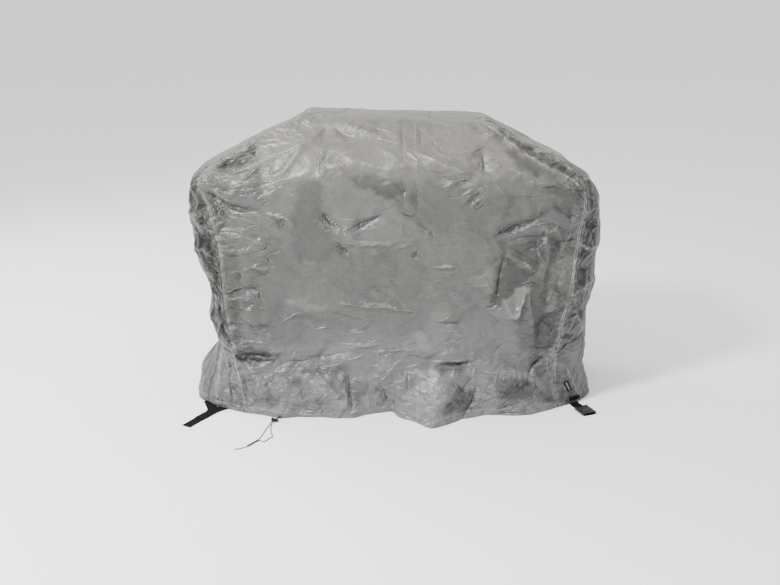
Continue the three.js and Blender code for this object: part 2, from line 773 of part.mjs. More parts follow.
function toGeometry(solid) {
  const mesh = solid.getMesh();
  const geometry = new THREE.BufferGeometry();
  geometry.setAttribute("position", new THREE.BufferAttribute(mesh.vertProperties, 3));
  geometry.setIndex(new THREE.BufferAttribute(mesh.triVerts, 1));
  geometry.computeVertexNormals();
  return geometry;
}

// The cord lock: a barrel with a sprung plunger, and a slot across it for the two cords.
// Its barrel lies along the local X axis and the cords pass along the local Y axis.
const LOCK = {
  radius: 6,
  barrel: 18,
  plungerRadius: 4.6,
  plunger: 8,
  chamfer: 1.2,
  slotWidth: 8.4,
  slotHeight: 4.6,
  sides: 20,
};

function cordLockGeometry() {
  const { radius, barrel, plungerRadius, plunger, chamfer } = LOCK;
  const start = -(barrel + plunger) / 2;
  const shoulder = start + barrel;
  const end = shoulder + plunger;
  const profile = [
    [0, start],
    [radius - chamfer, start],
    [radius, start + chamfer],
    [radius, shoulder - chamfer],
    [radius - chamfer, shoulder],
    [plungerRadius, shoulder],
    [plungerRadius, end - chamfer],
    [plungerRadius - chamfer, end],
    [0, end],
  ];
  const corners = profile.map(([r, h]) => new THREE.Vector2(r, h));
  const body = new THREE.LatheGeometry(corners, LOCK.sides);
  body.rotateZ(-Math.PI / 2);
  const hole = new THREE.BoxGeometry(LOCK.slotWidth, 4 * radius, LOCK.slotHeight);
  return toGeometry(toSolid(facingOut(mergeVertices(body))).subtract(toSolid(hole)));
}

// The socket half of a side-release buckle, seen from above: the webbing's bar and window at
// its near end, a mouth at its far end, and a slot down each side where the prongs latch.
const BUCKLE = { length: 64, width: 52, height: 12, corner: 6, wall: 2.5, bevel: 1 };
const MOUTH = { width: 38, depth: 24 };
const BAR = { width: 5, low: 3.6, high: 8.4, window: 6 };
const LATCH_SLOT = { from: -2, length: 15, width: 3.6, edge: 3.4 };
const WEB_SLOT = WEBBING.width + 2.4;
const SLOT_CORNER = 1.5;
const PAST = 2; // how far a cut runs past the face that it opens

function buckleGeometry() {
  const { length, width, height, corner, wall, bevel } = BUCKLE;
  const outline = roundedPlate(-length / 2, -width / 2, length, width, corner);
  const windowAt = -length / 2 + BAR.width;
  outline.holes.push(roundedPlate(windowAt, -WEB_SLOT / 2, BAR.window, WEB_SLOT, SLOT_CORNER));
  for (const side of [-1, 1]) {
    const middle = side * (width / 2 - LATCH_SLOT.edge - LATCH_SLOT.width / 2);
    const low = middle - LATCH_SLOT.width / 2;
    outline.holes.push(
      roundedPlate(LATCH_SLOT.from, low, LATCH_SLOT.length, LATCH_SLOT.width, SLOT_CORNER),
    );
  }
  const plate = new THREE.ExtrudeGeometry(outline, {
    depth: height - 2 * bevel,
    bevelThickness: bevel,
    bevelSize: bevel,
    bevelOffset: -bevel,
    bevelSegments: 1,
    curveSegments: 3,
  });
  plate.translate(0, 0, bevel);
  const cavity = new THREE.BoxGeometry(MOUTH.depth + PAST, MOUTH.width, height - 2 * wall);
  cavity.translate((length - MOUTH.depth + PAST) / 2, 0, height / 2);
  const cuts = [cavity];
  for (const [from, to] of [[-PAST, BAR.low], [BAR.high, height + PAST]]) {
    const relief = new THREE.BoxGeometry(BAR.width + 2 * PAST, WEB_SLOT, to - from);
    relief.translate((BAR.width - length) / 2, 0, (from + to) / 2);
    cuts.push(relief);
  }
  return toGeometry(cuts.reduce((body, cut) => body.subtract(toSolid(cut)), toSolid(plate)));
}

// A rectangle with round corners, from its low corner.
function roundedPlate(x, y, length, width, radius) {
  const shape = new THREE.Shape();
  shape.moveTo(x + radius, y);
  shape.lineTo(x + length - radius, y);
  shape.absarc(x + length - radius, y + radius, radius, -Math.PI / 2, 0, false);
  shape.lineTo(x + length, y + width - radius);
  shape.absarc(x + length - radius, y + width - radius, radius, 0, Math.PI / 2, false);
  shape.lineTo(x + radius, y + width);
  shape.absarc(x + radius, y + width - radius, radius, Math.PI / 2, Math.PI, false);
  shape.lineTo(x, y + radius);
  shape.absarc(x + radius, y + radius, radius, Math.PI, 1.5 * Math.PI, false);
  return shape;
}

// The woven label, sewn flat on the right end panel just above its hem. It leans a little. Its
// middle lies at a distance round from the front seam, and off the cloth's bulge beneath it.
const LABEL = { round: 62, z: 78, width: 22, height: 46, lean: 0.21, thickness: 0.9, off: 1.2 };
// The webbing tab sewn along the outside of the hem, over the right strap.
const TAB = { round: 84, z: 20, width: 54, height: 15, lean: 0, thickness: 2.2, off: 2.4 };
const SEARCH_STEP = 0.05; // columns tried one after another to find a place round the panel
const TILT_ROWS = 0.5; // rows and columns to each side over which a plate takes the cloth's tilt
const TILT_COLUMNS = 0.2;

function plateGeometry(net, plan) {
  const { round, z, width, height, lean, thickness, off } = plan;
  const at = (row, column, out = 0) => placeOn(net, net.right, row, column, out);
  const row = z / (SHOULDER_Z / WALL_ROWS);
  let column = 0;
  while (at(row, column).distanceTo(at(row, 0)) < round) column += SEARCH_STEP;
  const middle = at(row, column, CLOTH / 2 + SEAM_GAP + thickness / 2);
  const lower = at(Math.max(row - TILT_ROWS, 0), column);
  const upper = at(row + TILT_ROWS, column);
  const before = at(row, column - TILT_COLUMNS);
  const after = at(row, column + TILT_COLUMNS);
  const rise = new THREE.Vector3().subVectors(upper, lower).normalize();
  const across = new THREE.Vector3().subVectors(after, before).normalize();
  const out = new THREE.Vector3().crossVectors(across, rise).normalize();
  rise.crossVectors(out, across);
  const plate = new THREE.BoxGeometry(width, height, thickness);
  plate.rotateZ(lean);
  plate.applyMatrix4(new THREE.Matrix4().makeBasis(across, rise, out));
  plate.translate(...middle.addScaledVector(out, off).toArray());
  return plate;
}

// Finishes
function finish(color, roughness, metalness = 0) {
  return new THREE.MeshStandardMaterial({ color, roughness, metalness });
}
const SILVER_CLOTH = finish(0x9b9b98, 0.5, 0.1);
const END_CLOTH = finish(0x87878a, 0.5, 0.1);
const BLACK_WEBBING = finish(0x141414, 0.85);
const BLACK_PLASTIC = finish(0x101112, 0.4);
const LABEL_CLOTH = finish(0x1a1a1a, 0.8);

function piece(name, geometry, material) {
  const mesh = new THREE.Mesh(geometry, material);
  mesh.name = name;
  return mesh;
}

const net = drapeNet();
const leftInsets = seamInsets(net, 0, 1);
const rightInsets = seamInsets(net, COLUMNS, -1);
const bothInsets = new Map([...leftInsets, ...rightInsets]);

const cover = new THREE.Group();
cover.position.z = -MOUNT_Z;
cover.add(
  piece("front_top_back_panel", panelSolid(net, net.main, false, bothInsets, 1), SILVER_CLOTH),
  piece("left_end_panel", panelSolid(net, net.left, true, leftInsets, -1), END_CLOTH),
  piece("right_end_panel", panelSolid(net, net.right, false, rightInsets, -1), END_CLOTH),
  piece("label", plateGeometry(net, LABEL), LABEL_CLOTH),
  piece("right_tab", plateGeometry(net, TAB), BLACK_WEBBING),
);

// The left corner's webbing: a long end on the floor, and a short end laid over it.
const LEFT_LONG = [
  [-700, -190, 1.2],
  [-684, -232, 1.2],
  [-672, -274, 1.2],
  [-686, -318, 1.2],
  [-712, -360, 1.2],
  [-741, -410, 1.2],
];
const LEFT_SHORT = [
  [-600, -232, 1.2],
  [-630, -252, 2.2],
  [-660, -280, 3.6],
  [-682, -312, 3.8],
  [-706, -350, 3.8],
];
cover.add(
  piece("left_strap_long", layWebbing(LEFT_LONG), BLACK_WEBBING),
  piece("left_strap_short", layWebbing(LEFT_SHORT), BLACK_WEBBING),
);

// The right corner's webbing: it lies on the floor, passes under the buckle's bar, up through
// its window, back over the bar, and down onto itself, where it is sewn.
const buckle = piece("right_buckle", buckleGeometry(), BLACK_PLASTIC);
buckle.position.set(695, -288, 0);
buckle.rotation.z = -1.2; // its mouth points forward and a little to the right
buckle.updateMatrix();
const STRAP_START = [
  [655, -140, 1.2],
  [661, -178, 1.2],
];
// Along the buckle from its middle, and up.
const STRAP_LOOP = [
  [-66, 1.2],
  [-46, 1.2],
  [-34, 1.2],
  [-27, 1.8],
  [-24.2, 5.6],
  [-26, 9.6],
  [-30, 10.4],
  [-35, 8.2],
  [-40, 4.2],
  [-46, 3.4],
  [-60, 3.4],
];

function rightStrapGeometry() {
  const loop = STRAP_LOOP.map(([x, z]) => new THREE.Vector3(x, 0, z).applyMatrix4(buckle.matrix));
  const rows = [...STRAP_START, ...loop.map((point) => point.toArray())];
  const sideways = new THREE.Vector3(0, 1, 0).transformDirection(buckle.matrix);
  return bandGeometry(routeStops(rows, 3, sideways), WEBBING.width, WEBBING.thickness);
}
cover.add(piece("right_strap", rightStrapGeometry(), BLACK_WEBBING), buckle);

const lock = piece("cord_lock", cordLockGeometry(), BLACK_PLASTIC);
lock.position.set(-431, -370.5, 7.3);
lock.rotation.z = Math.atan2(-17.6, -11) + Math.PI / 2; // across the cords
cover.add(
  lock,
  piece("cord_long_end", cordGeometry(LONG_END), BLACK_WEBBING),
  piece("cord_short_end", cordGeometry(SHORT_END), BLACK_WEBBING),
);

const barbecueCover = new THREE.Group();
barbecueCover.add(cover);
export default barbecueCover;
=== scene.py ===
# The looks of a fitted barbecue cover of coated polyester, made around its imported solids.
# Metres, +Z up, and the front looks along -Y. Heights in the tables are counted from the floor,
# which lies FLOOR below the row's origin.

import math

import bmesh
import bpy
import numpy as np
from mathutils import Matrix, Vector


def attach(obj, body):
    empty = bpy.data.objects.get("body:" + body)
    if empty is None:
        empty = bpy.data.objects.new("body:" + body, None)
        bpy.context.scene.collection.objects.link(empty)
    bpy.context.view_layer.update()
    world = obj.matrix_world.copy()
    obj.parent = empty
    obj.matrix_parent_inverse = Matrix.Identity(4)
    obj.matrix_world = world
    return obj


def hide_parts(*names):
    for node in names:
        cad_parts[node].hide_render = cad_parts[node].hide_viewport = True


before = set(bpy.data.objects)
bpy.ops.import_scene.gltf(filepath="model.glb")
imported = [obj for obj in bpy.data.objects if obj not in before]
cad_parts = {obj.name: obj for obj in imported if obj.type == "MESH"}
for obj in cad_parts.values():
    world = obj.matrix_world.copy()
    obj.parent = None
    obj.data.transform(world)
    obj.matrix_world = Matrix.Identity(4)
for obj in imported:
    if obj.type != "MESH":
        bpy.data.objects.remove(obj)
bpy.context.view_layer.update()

FLOOR = -1.050  # the floor, counted from the inner face of the top


def table(columns, rows):
    """A table's rows as one array for each named column."""
    values = np.array(rows, float).T
    return dict(zip(columns.split(), values))


# Camera: 950 pixels of focal length in a frame of 780, looking down by 18 degrees
CAMERA_PLACE = (-0.019, -3.46, 1.49 + FLOOR)
CAMERA_PITCH = 18
SENSOR = 36
FOCAL = 950 / 780 * SENSOR

lens = bpy.data.cameras.new("camera")
lens.sensor_width = SENSOR
lens.lens = FOCAL
camera = bpy.data.objects.new("camera", lens)
camera.location = CAMERA_PLACE
camera.rotation_euler = (math.radians(90 - CAMERA_PITCH), 0, 0)
bpy.context.collection.objects.link(camera)
bpy.context.scene.camera = camera


# Making meshes
def new_piece(name, points, faces):
    """An object from points and faces, with its place in its mesh."""
    mesh = bpy.data.meshes.new(name)
    mesh.from_pydata([tuple(p) for p in points], [], faces)
    mesh.update()
    piece = bpy.data.objects.new(name, mesh)
    bpy.context.collection.objects.link(piece)
    return piece


def only(piece):
    """Selects one piece and nothing else."""
    if bpy.context.object and bpy.context.object.mode != "OBJECT":
        bpy.ops.object.mode_set(mode="OBJECT")
    bpy.ops.object.select_all(action="DESELECT")
    piece.select_set(True)
    bpy.context.view_layer.objects.active = piece


def smooth(piece, degrees=50):
    """Smooth shading, but for edges sharper than an angle."""
    only(piece)
    bpy.ops.object.shade_smooth_by_angle(angle=math.radians(degrees))


def apply_modifier(piece, kind, **values):
    """Adds a modifier with its values and applies it."""
    only(piece)
    modifier = piece.modifiers.new(kind.lower(), kind)
    for name, value in values.items():
        setattr(modifier, name, value)
    bpy.ops.object.modifier_apply(modifier=modifier.name)


def rounded(piece, width, segments=3, angle=30):
    """Bevels every edge sharper than an angle."""
    apply_modifier(
        piece, "BEVEL", width=width, segments=segments, limit_method="ANGLE",
        angle_limit=math.radians(angle),
    )
    return piece


def set_cut(piece, cut):
    """Stores the flat cloth's coordinates, in metres, as a UV layer."""
    mesh = piece.data
    corners = np.empty(len(mesh.loops), int)
    mesh.loops.foreach_get("vertex_index", corners)
    layer = mesh.uv_layers.new(name="cut")
    layer.data.foreach_set("uv", np.asarray(cut, float)[corners].ravel())


def dress(piece, material, solid):
    """Gives a piece its material and its body, and hides the solid that it stands for."""
    piece.data.materials.clear()
    piece.data.materials.append(material)
    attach(piece, "root")
    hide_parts(solid)


# Cords
CORD_RADIUS = 0.0015
FLOOR_CORD = 0.0016  # height of a cord's middle where it lies on the floor
CORD_SIDES = 14
CORD_RING = 0.0011  # distance between two rings of a cord's braid
BRAID_RISE = 0.00012
BRAID_TWIST = 900  # how fast the braid turns round the cord, in radians a metre
MELTED_TIP = 0.55  # the cord's last ring, as a share of its radius
POINTS_BETWEEN = 24  # points of a smooth curve between two of its rows
LONG_END = [
    (-0.4135, -0.3456, 0.008), (-0.418, -0.3538, 0.0076), (-0.424, -0.363, 0.0074),
    (-0.435, -0.3806, 0.0072), (-0.4395, -0.39, 0.0052), (-0.4405, -0.401, 0.0024),
    (-0.4395, -0.418, FLOOR_CORD), (-0.437, -0.44, FLOOR_CORD), (-0.433, -0.463, FLOOR_CORD),
    (-0.427, -0.482, FLOOR_CORD), (-0.427, -0.495, FLOOR_CORD), (-0.436, -0.506, FLOOR_CORD),
    (-0.443, -0.52, FLOOR_CORD), (-0.45, -0.529, FLOOR_CORD), (-0.459, -0.524, FLOOR_CORD),
    (-0.467, -0.521, FLOOR_CORD), (-0.474, -0.526, FLOOR_CORD), (-0.487, -0.546, FLOOR_CORD),
    (-0.499, -0.562, FLOOR_CORD), (-0.512, -0.572, FLOOR_CORD), (-0.526, -0.58, FLOOR_CORD),
    (-0.543, -0.586, FLOOR_CORD),
]
SHORT_END = [
    (-0.4175, -0.344, 0.008), (-0.4215, -0.352, 0.0076), (-0.4272, -0.361, 0.0074),
    (-0.4382, -0.3786, 0.0072), (-0.444, -0.389, 0.0052), (-0.448, -0.404, 0.0024),
    (-0.453, -0.425, FLOOR_CORD), (-0.457, -0.448, FLOOR_CORD), (-0.461, -0.47, FLOOR_CORD),
    (-0.465, -0.492, FLOOR_CORD), (-0.471, -0.512, FLOOR_CORD), (-0.482, -0.529, FLOOR_CORD),
    (-0.493, -0.545, FLOOR_CORD), (-0.504, -0.558, FLOOR_CORD),
]


def catmull_rom(rows, step):
    """Points a step apart on a smooth curve through a route's rows."""
    route = np.array(rows, float)
    before = 2 * route[0] - route[1]
    after = 2 * route[-1] - route[-2]
    knots = np.vstack([before, route, after])
    dense = []
    for a, b, c, d in zip(knots, knots[1:], knots[2:], knots[3:]):
        # centripetal spacing keeps a short stretch from looping
        gaps = [max(np.linalg.norm(q - p), 1e-6) ** 0.5 for p, q in ((a, b), (b, c), (c, d))]
        t0, t1 = 0.0, gaps[0]
        t2, t3 = t1 + gaps[1], t1 + gaps[1] + gaps[2]
        t = np.linspace(t1, t2, POINTS_BETWEEN, endpoint=False)[:, None]
        a1 = (t1 - t) / (t1 - t0) * a + (t - t0) / (t1 - t0) * b
        a2 = (t2 - t) / (t2 - t1) * b + (t - t1) / (t2 - t1) * c
        a3 = (t3 - t) / (t3 - t2) * c + (t - t2) / (t3 - t2) * d
        b1 = (t2 - t) / (t2 - t0) * a1 + (t - t0) / (t2 - t0) * a2
        b2 = (t3 - t) / (t3 - t1) * a2 + (t - t1) / (t3 - t1) * a3
        dense.append((t2 - t) / (t2 - t1) * b1 + (t - t1) / (t2 - t1) * b2)
    dense = np.vstack([*dense, route[-1:]])
    reach = np.concatenate([[0], np.cumsum(np.linalg.norm(np.diff(dense, axis=0), axis=1))])
    at = np.linspace(0, reach[-1], max(2, round(reach[-1] / step) + 1))
    return np.stack([np.interp(at, reach, dense[:, i]) for i in range(3)], axis=1)


def unit(vectors):
    return vectors / np.maximum(np.linalg.norm(vectors, axis=-1, keepdims=True), 1e-12)


def grid_quads(number):
    """Four-cornered faces of a grid of point numbers."""
    quads = np.stack([number[:-1, :-1], number[:-1, 1:], number[1:, 1:], number[1:, :-1]], axis=-1)
    return quads.reshape(-1, 4)


def tube_faces(rings, count):
    """Faces of a tube of rings of points, closed at both ends."""
    number = np.arange(rings * count).reshape(rings, count)
    walls = grid_quads(np.column_stack([number, number[:, 0]]))
    return walls.tolist() + [number[0, ::-1].tolist(), number[-1].tolist()]


def braided_cord(name, rows):
    """A cord along a route, its braid raised in crossing turns, with a melted tip."""
    line = catmull_rom(rows, CORD_RING) + (0, 0, FLOOR)
    run = unit(np.gradient(line, axis=0))
    level = unit(np.cross(run, (0.0, 0.0, 1.0)))
    up = np.cross(level, run)
    points, places = [], []
    for i, (place, side, rise) in enumerate(zip(line, level, up)):
        for k in range(CORD_SIDES):
            turn = 2 * math.pi * k / CORD_SIDES
            twist = i * CORD_RING * BRAID_TWIST
            braid = max(math.sin(3 * turn + twist), math.sin(3 * turn - twist))
            tip = min(1.0, MELTED_TIP + (1 - MELTED_TIP) * (len(line) - 1 - i) / 2)
            radius = (CORD_RADIUS - BRAID_RISE * (1 - braid)) * tip
            points.append(place + radius * (side * math.cos(turn) + rise * math.sin(turn)))
            places.append((k / CORD_SIDES, i * CORD_RING))
    cord = new_piece(name, points, tube_faces(len(line), CORD_SIDES))
    set_cut(cord, places)
    facing_out(cord)
    smooth(cord, 70)
    return cord, line


def facing_out(piece):
    """Turns a closed piece's faces to point outwards."""
    shape = bmesh.new()
    shape.from_mesh(piece.data)
    bmesh.ops.recalc_face_normals(shape, faces=shape.faces)
    shape.to_mesh(piece.data)
    shape.free()


long_cord, long_line = braided_cord("drawcord_long_end", LONG_END)
short_cord, short_line = braided_cord("drawcord_short_end", SHORT_END)


# The drape: the same dimensions as the solids
CLOTH = 0.0012
SHOULDER_Z = 0.800
TOP_LEFT_Z = 1.048
TOP_RIGHT_Z = 1.030
TOP_CROWN = 0.012
WALL_ROWS = 19
HOOD_ROWS = 9
END_COLUMNS = "z widest seam depth square drawn"
LEFT_END = table(END_COLUMNS, [
    (0, -0.759, -0.535, 0.298, 3.8, 0), (0.045, -0.751, -0.541, 0.296, 3.6, 0),
    (0.096, -0.722, -0.551, 0.29, 3.2, 0), (0.146, -0.69, -0.562, 0.284, 3, 0),
    (0.2, -0.678, -0.577, 0.279, 2.8, 0), (0.295, -0.688, -0.592, 0.275, 2.6, 0),
    (0.416, -0.686, -0.607, 0.274, 2.6, 0), (0.511, -0.722, -0.609, 0.274, 2.6, 0),
    (0.604, -0.741, -0.615, 0.274, 2.6, 0), (0.696, -0.75, -0.634, 0.274, 2.6, 0),
    (0.765, -0.748, -0.648, 0.272, 2.6, 0), (0.809, -0.741, -0.67, 0.268, 2.6, 0),
    (0.845, -0.714, -0.678, 0.255, 2.6, 0), (0.88, -0.666, -0.656, 0.24, 2.4, 0.05),
    (0.901, -0.619, -0.626, 0.224, 2.2, 0.07), (0.94, -0.536, -0.55, 0.2, 2, 0.085),
    (0.985, -0.453, -0.468, 0.175, 2, 0.095), (1.029, -0.353, -0.371, 0.152, 2, 0.1),
    (1.048, -0.314, -0.314, 0.142, 2, 0.04),
])
RIGHT_END = table(END_COLUMNS, [
    (0, 0.756, 0.597, 0.244, 3.1, 0), (0.045, 0.745, 0.59, 0.25, 3, 0),
    (0.096, 0.731, 0.577, 0.262, 2.9, 0), (0.146, 0.726, 0.573, 0.27, 2.8, 0),
    (0.2, 0.728, 0.571, 0.275, 2.7, 0), (0.295, 0.727, 0.59, 0.276, 2.6, 0),
    (0.416, 0.736, 0.611, 0.274, 2.6, 0), (0.511, 0.744, 0.628, 0.274, 2.6, 0),
    (0.604, 0.75, 0.634, 0.274, 2.6, 0), (0.696, 0.749, 0.645, 0.274, 2.6, 0),
    (0.765, 0.744, 0.656, 0.272, 2.6, 0), (0.809, 0.714, 0.652, 0.268, 2.6, 0),
    (0.832, 0.691, 0.646, 0.262, 2.5, 0), (0.876, 0.626, 0.611, 0.246, 2.4, 0.035),
    (0.9, 0.598, 0.59, 0.23, 2.3, 0.055), (0.94, 0.514, 0.498, 0.2, 2.2, 0.06),
    (0.985, 0.421, 0.4, 0.176, 2.1, 0.06), (1.022, 0.343, 0.328, 0.152, 2, 0.06),
    (1.03, 0.32, 0.312, 0.142, 2, 0.04),
])
FACE_DEPTH = table("z front back", [
    (0, 0.33, 0.326), (0.05, 0.327, 0.322), (0.1, 0.318, 0.313), (0.15, 0.304, 0.302),
    (0.2, 0.293, 0.297), (0.26, 0.29, 0.296), (0.3, 0.294, 0.296), (0.7, 0.299, 0.3),
    (0.78, 0.303, 0.304), (0.84, 0.304, 0.303), (0.87, 0.296, 0.294), (0.92, 0.258, 0.257),
    (0.97, 0.212, 0.213), (1.02, 0.166, 0.167), (1.048, 0.144, 0.144),
])
FACE_SQUARE = 6
LID_LINE = table("x rise", [
    (-0.65, -0.032), (-0.45, -0.026), (-0.25, 0.03), (-0.1, 0.048), (0, 0.038), (0.15, 0.024),
    (0.3, 0.006), (0.45, -0.008), (0.65, -0.024),
])
LID_COMES = (0.740, 0.830)
LID_FADES = (0.900, 1.010)
FRONT_HEM = table("x y reach", [
    (-0.535, -0.298, 0.215), (-0.477, -0.315, 0.21), (-0.387, -0.338, 0.19), (-0.27, -0.331, 0.165),
    (-0.156, -0.338, 0.15), (-0.11, -0.308, 0.14), (-0.045, -0.288, 0.14), (-0.015, -0.283, 0.15),
    (0.017, -0.338, 0.17), (0.074, -0.373, 0.19), (0.129, -0.42, 0.2), (0.17, -0.404, 0.205),
    (0.217, -0.373, 0.2), (0.277, -0.341, 0.185), (0.337, -0.318, 0.16), (0.423, -0.323, 0.14),
    (0.482, -0.315, 0.15), (0.544, -0.284, 0.18), (0.597, -0.244, 0.21),
])
BACK_HEM = table("x y reach", [
    (-0.535, 0.3, 0.2), (-0.38, 0.338, 0.16), (-0.23, 0.318, 0.19), (-0.07, 0.344, 0.15),
    (0.11, 0.322, 0.2), (0.29, 0.346, 0.17), (0.44, 0.318, 0.15), (0.597, 0.262, 0.2),
])
HEM_LIFTS = [(-0.668, -0.244, 0.115, 0.011), (0.672, -0.204, 0.105, 0.009), (-0.415, -0.330, 0.060, 0.007)]


def along(rows, key, at, column):
    """Smooth curve through a table's rows: a column's values at places along its key."""
    keys = rows[key]
    values = rows[column]
    place = np.clip(at, keys[0], keys[-1])
    i = np.clip(np.searchsorted(keys, place, side="right") - 1, 0, len(keys) - 2)
    step = np.diff(keys)
    rise = np.diff(values)
    rate = rise / step
    product = rate[:-1] * rate[1:]
    total = rate[:-1] + rate[1:]
    inner = np.where(product > 0, 2 * product / np.where(total == 0, 1, total), 0)
    slope = np.concatenate([rate[:1], inner, rate[-1:]])
    t = (place - keys[i]) / step[i]
    a = slope[i] * step[i] - rise[i]
    b = rise[i] - slope[i + 1] * step[i]
    return values[i] + t * rise[i] + t * (1 - t) * (a * (1 - t) + b * t)


def ease(value, low, high):
    """Rises smoothly from 0 to 1 between two values."""
    t = np.clip((value - low) / (high - low), 0, 1)
    return t * t * (3 - 2 * t)


def row_heights(k):
    """Heights of rows at the left and at the right end."""
    wall = SHOULDER_Z * np.minimum(k, WALL_ROWS) / WALL_ROWS
    t = np.maximum(k - WALL_ROWS, 0) / HOOD_ROWS
    return wall + (TOP_LEFT_Z - SHOULDER_Z) * t, wall + (TOP_RIGHT_Z - SHOULDER_Z) * t


def end_points(end, z, v):
    """Points of an end panel: v runs from -1 at the front seam to 1 at the back seam."""
    z, v = np.broadcast_arrays(z, v)
    turn = np.abs(v) ** along(end, "z", z, "square")
    widest = along(end, "z", z, "widest")
    seam = along(end, "z", z, "seam")
    crown = ease(z, SHOULDER_Z, TOP_RIGHT_Z) * TOP_CROWN
    depth = v * along(end, "z", z, "depth")
    drawn_in = 1 - along(end, "z", z, "drawn") * np.maximum(v, 0)
    return np.stack([(widest + (seam - widest) * turn) * drawn_in, depth, z + crown * (1 - v * v)], axis=-1)


def face_points(k, u, face):
    """Points of the front or the back: u runs from 0 at the left seam to 1 at the right one."""
    side = -1 if face == "front" else 1
    left_z, right_z = row_heights(k)
    left = end_points(LEFT_END, left_z, side)
    right = end_points(RIGHT_END, right_z, side)
    point = left + (right - left) * u[..., None]
    rise = 0
    if face == "front":
        comes = ease(point[..., 2], *LID_COMES)
        fades = 1 - ease(point[..., 2], *LID_FADES)
        rise = comes * fades * along(LID_LINE, "x", point[..., 0], "rise")
    depth = side * along(FACE_DEPTH, "z", point[..., 2] - rise, face)
    turn = np.abs(2 * u - 1) ** FACE_SQUARE
    seam_y = np.where(u < 0.5, left[..., 1], right[..., 1])
    y = depth + (seam_y - depth) * turn
    hem = FRONT_HEM if face == "front" else BACK_HEM
    reach = along(hem, "x", point[..., 0], "reach")
    flare = np.clip(1 - point[..., 2] / reach, 0, 1)
    point[..., 1] = y + flare * (along(hem, "x", point[..., 0], "y") - y)
    return point


def hem_heights(points):
    """How far straps and cord prop the hem up at each of its points."""
    raised = np.zeros(len(points))
    for x, y, radius, lift in HEM_LIFTS:
        away = np.hypot(points[:, 0] - x, points[:, 1] - y) / radius
        raised = np.maximum(raised, lift * np.cos(np.minimum(away, 1) * math.pi / 2) ** 2)
    return raised


# Folds, creases, and patches of painted light and shade, in millimetres
def in_metres(rows):
    """Rows given in millimetres, in metres."""
    return [tuple(value / 1000 for value in row) for row in rows]


def patches_in_metres(rows):
    """Patches given with their edge and corners in millimetres, in metres."""
    made = []
    for tone, soft, places in rows:
        corners = list(zip(places[::2], places[1::2]))
        made.append((tone, soft / 1000, in_metres(corners)))
    return made


# A fold each: three points of its line, across and above the floor, half its width, and how far
# it stands out, or in where negative. On an end panel, across is counted from the front seam.
FRONT_FOLDS = in_metres([
    (-640, 822, -585, 772, -440, 750, 28, -20), (-610, 838, -560, 806, -440, 790, 30, 12),
    (-445, 750, -394, 739, -347, 715, 28, -9), (-628, 775, -600, 745, -566, 705, 28, -12),
    (-590, 925, -541, 912, -480, 922, 28, -12), (-508, 861, -420, 910, -259, 988, 28, 15),
    (-440, 862, -374, 889, -322, 951, 28, 9), (-470, 1010, -455, 900, -452, 790, 28, -5),
    (-255, 975, -256, 920, -253, 862, 28, -14), (-190, 1030, -105, 1007, -40, 988, 28, 11),
    (-170, 906, -60, 886, 30, 872, 30, -14), (-165, 935, -60, 915, 20, 903, 28, 8),
    (30, 957, 150, 913, 275, 872, 28, 15), (60, 890, 160, 868, 300, 872, 30, -11),
    (300, 945, 296, 915, 300, 880, 28, -12), (200, 950, 250, 945, 300, 962, 28, 8),
    (-260, 752, -215, 716, -170, 690, 28, -14), (-170, 690, -110, 712, -35, 748, 28, -14),
    (-215, 660, -181, 624, -147, 591, 28, -11), (-211, 672, -100, 642, 57, 656, 28, 4),
    (-36, 850, 20, 808, 92, 752, 40, 11), (345, 662, 412, 697, 515, 741, 28, -16),
    (380, 700, 450, 735, 540, 775, 30, 11), (377, 636, 470, 662, 572, 652, 28, -9),
    (385, 612, 362, 526, 357, 425, 34, -15), (400, 445, 425, 380, 455, 470, 34, 12),
    (465, 560, 470, 400, 492, 255, 30, 11), (-605, 445, -544, 464, -460, 484, 28, -4),
    (-195, 428, -72, 412, 80, 394, 30, 4), (-205, 330, -120, 318, -30, 330, 28, -4),
    (-210, 268, -60, 258, 90, 250, 30, 5), (137, 352, 193, 344, 240, 358, 28, -3),
    (-600, 212, -503, 214, -405, 218, 20, -15), (-590, 248, -500, 262, -410, 236, 28, 11),
    (-400, 196, -288, 208, -165, 236, 28, -12), (-350, 206, -262, 140, -175, 50, 46, 18),
    (-170, 165, -160, 93, -156, 20, 28, -15), (130, 196, 204, 188, 290, 200, 28, -16),
    (120, 232, 204, 226, 300, 236, 28, 12), (150, 178, 175, 95, 130, 10, 40, 16),
    (290, 130, 284, 70, 245, 5, 34, -19), (470, 138, 513, 190, 566, 212, 28, -14),
    (380, 105, 440, 88, 500, 120, 36, 12), (-560, 180, -541, 107, -520, 20, 28, -11),
    (-490, 165, -470, 95, -440, 20, 34, 11),
])
BACK_FOLDS = in_metres([
    (-610, 810, -520, 745, -380, 735, 30, -18), (-480, 870, -360, 905, -220, 985, 28, 12),
    (-300, 760, -180, 690, -20, 720, 34, -14), (-60, 960, 60, 905, 220, 890, 30, 12),
    (-40, 870, 120, 850, 330, 862, 32, -11), (340, 640, 430, 700, 560, 760, 32, -16),
    (-470, 560, -440, 420, -470, 250, 40, 12), (-180, 520, -60, 480, 90, 520, 34, -11),
    (150, 620, 180, 450, 150, 300, 42, 12), (380, 520, 350, 380, 370, 200, 38, -14),
    (-560, 230, -430, 240, -300, 215, 30, -15), (-330, 200, -300, 110, -260, 10, 44, 16),
    (-120, 210, -90, 110, -70, 10, 42, -16), (60, 190, 200, 210, 340, 180, 32, -12),
    (120, 170, 140, 90, 110, 10, 46, 16), (300, 150, 330, 80, 290, 10, 40, -14),
    (480, 190, 500, 110, 460, 10, 38, 12),
])
TOP_FOLDS = in_metres([
    (-250, -120, -190, 0, -210, 120, 30, -6), (-60, -110, -40, 10, -70, 110, 34, 4),
    (150, -130, 120, -10, 160, 120, 30, -6),
])
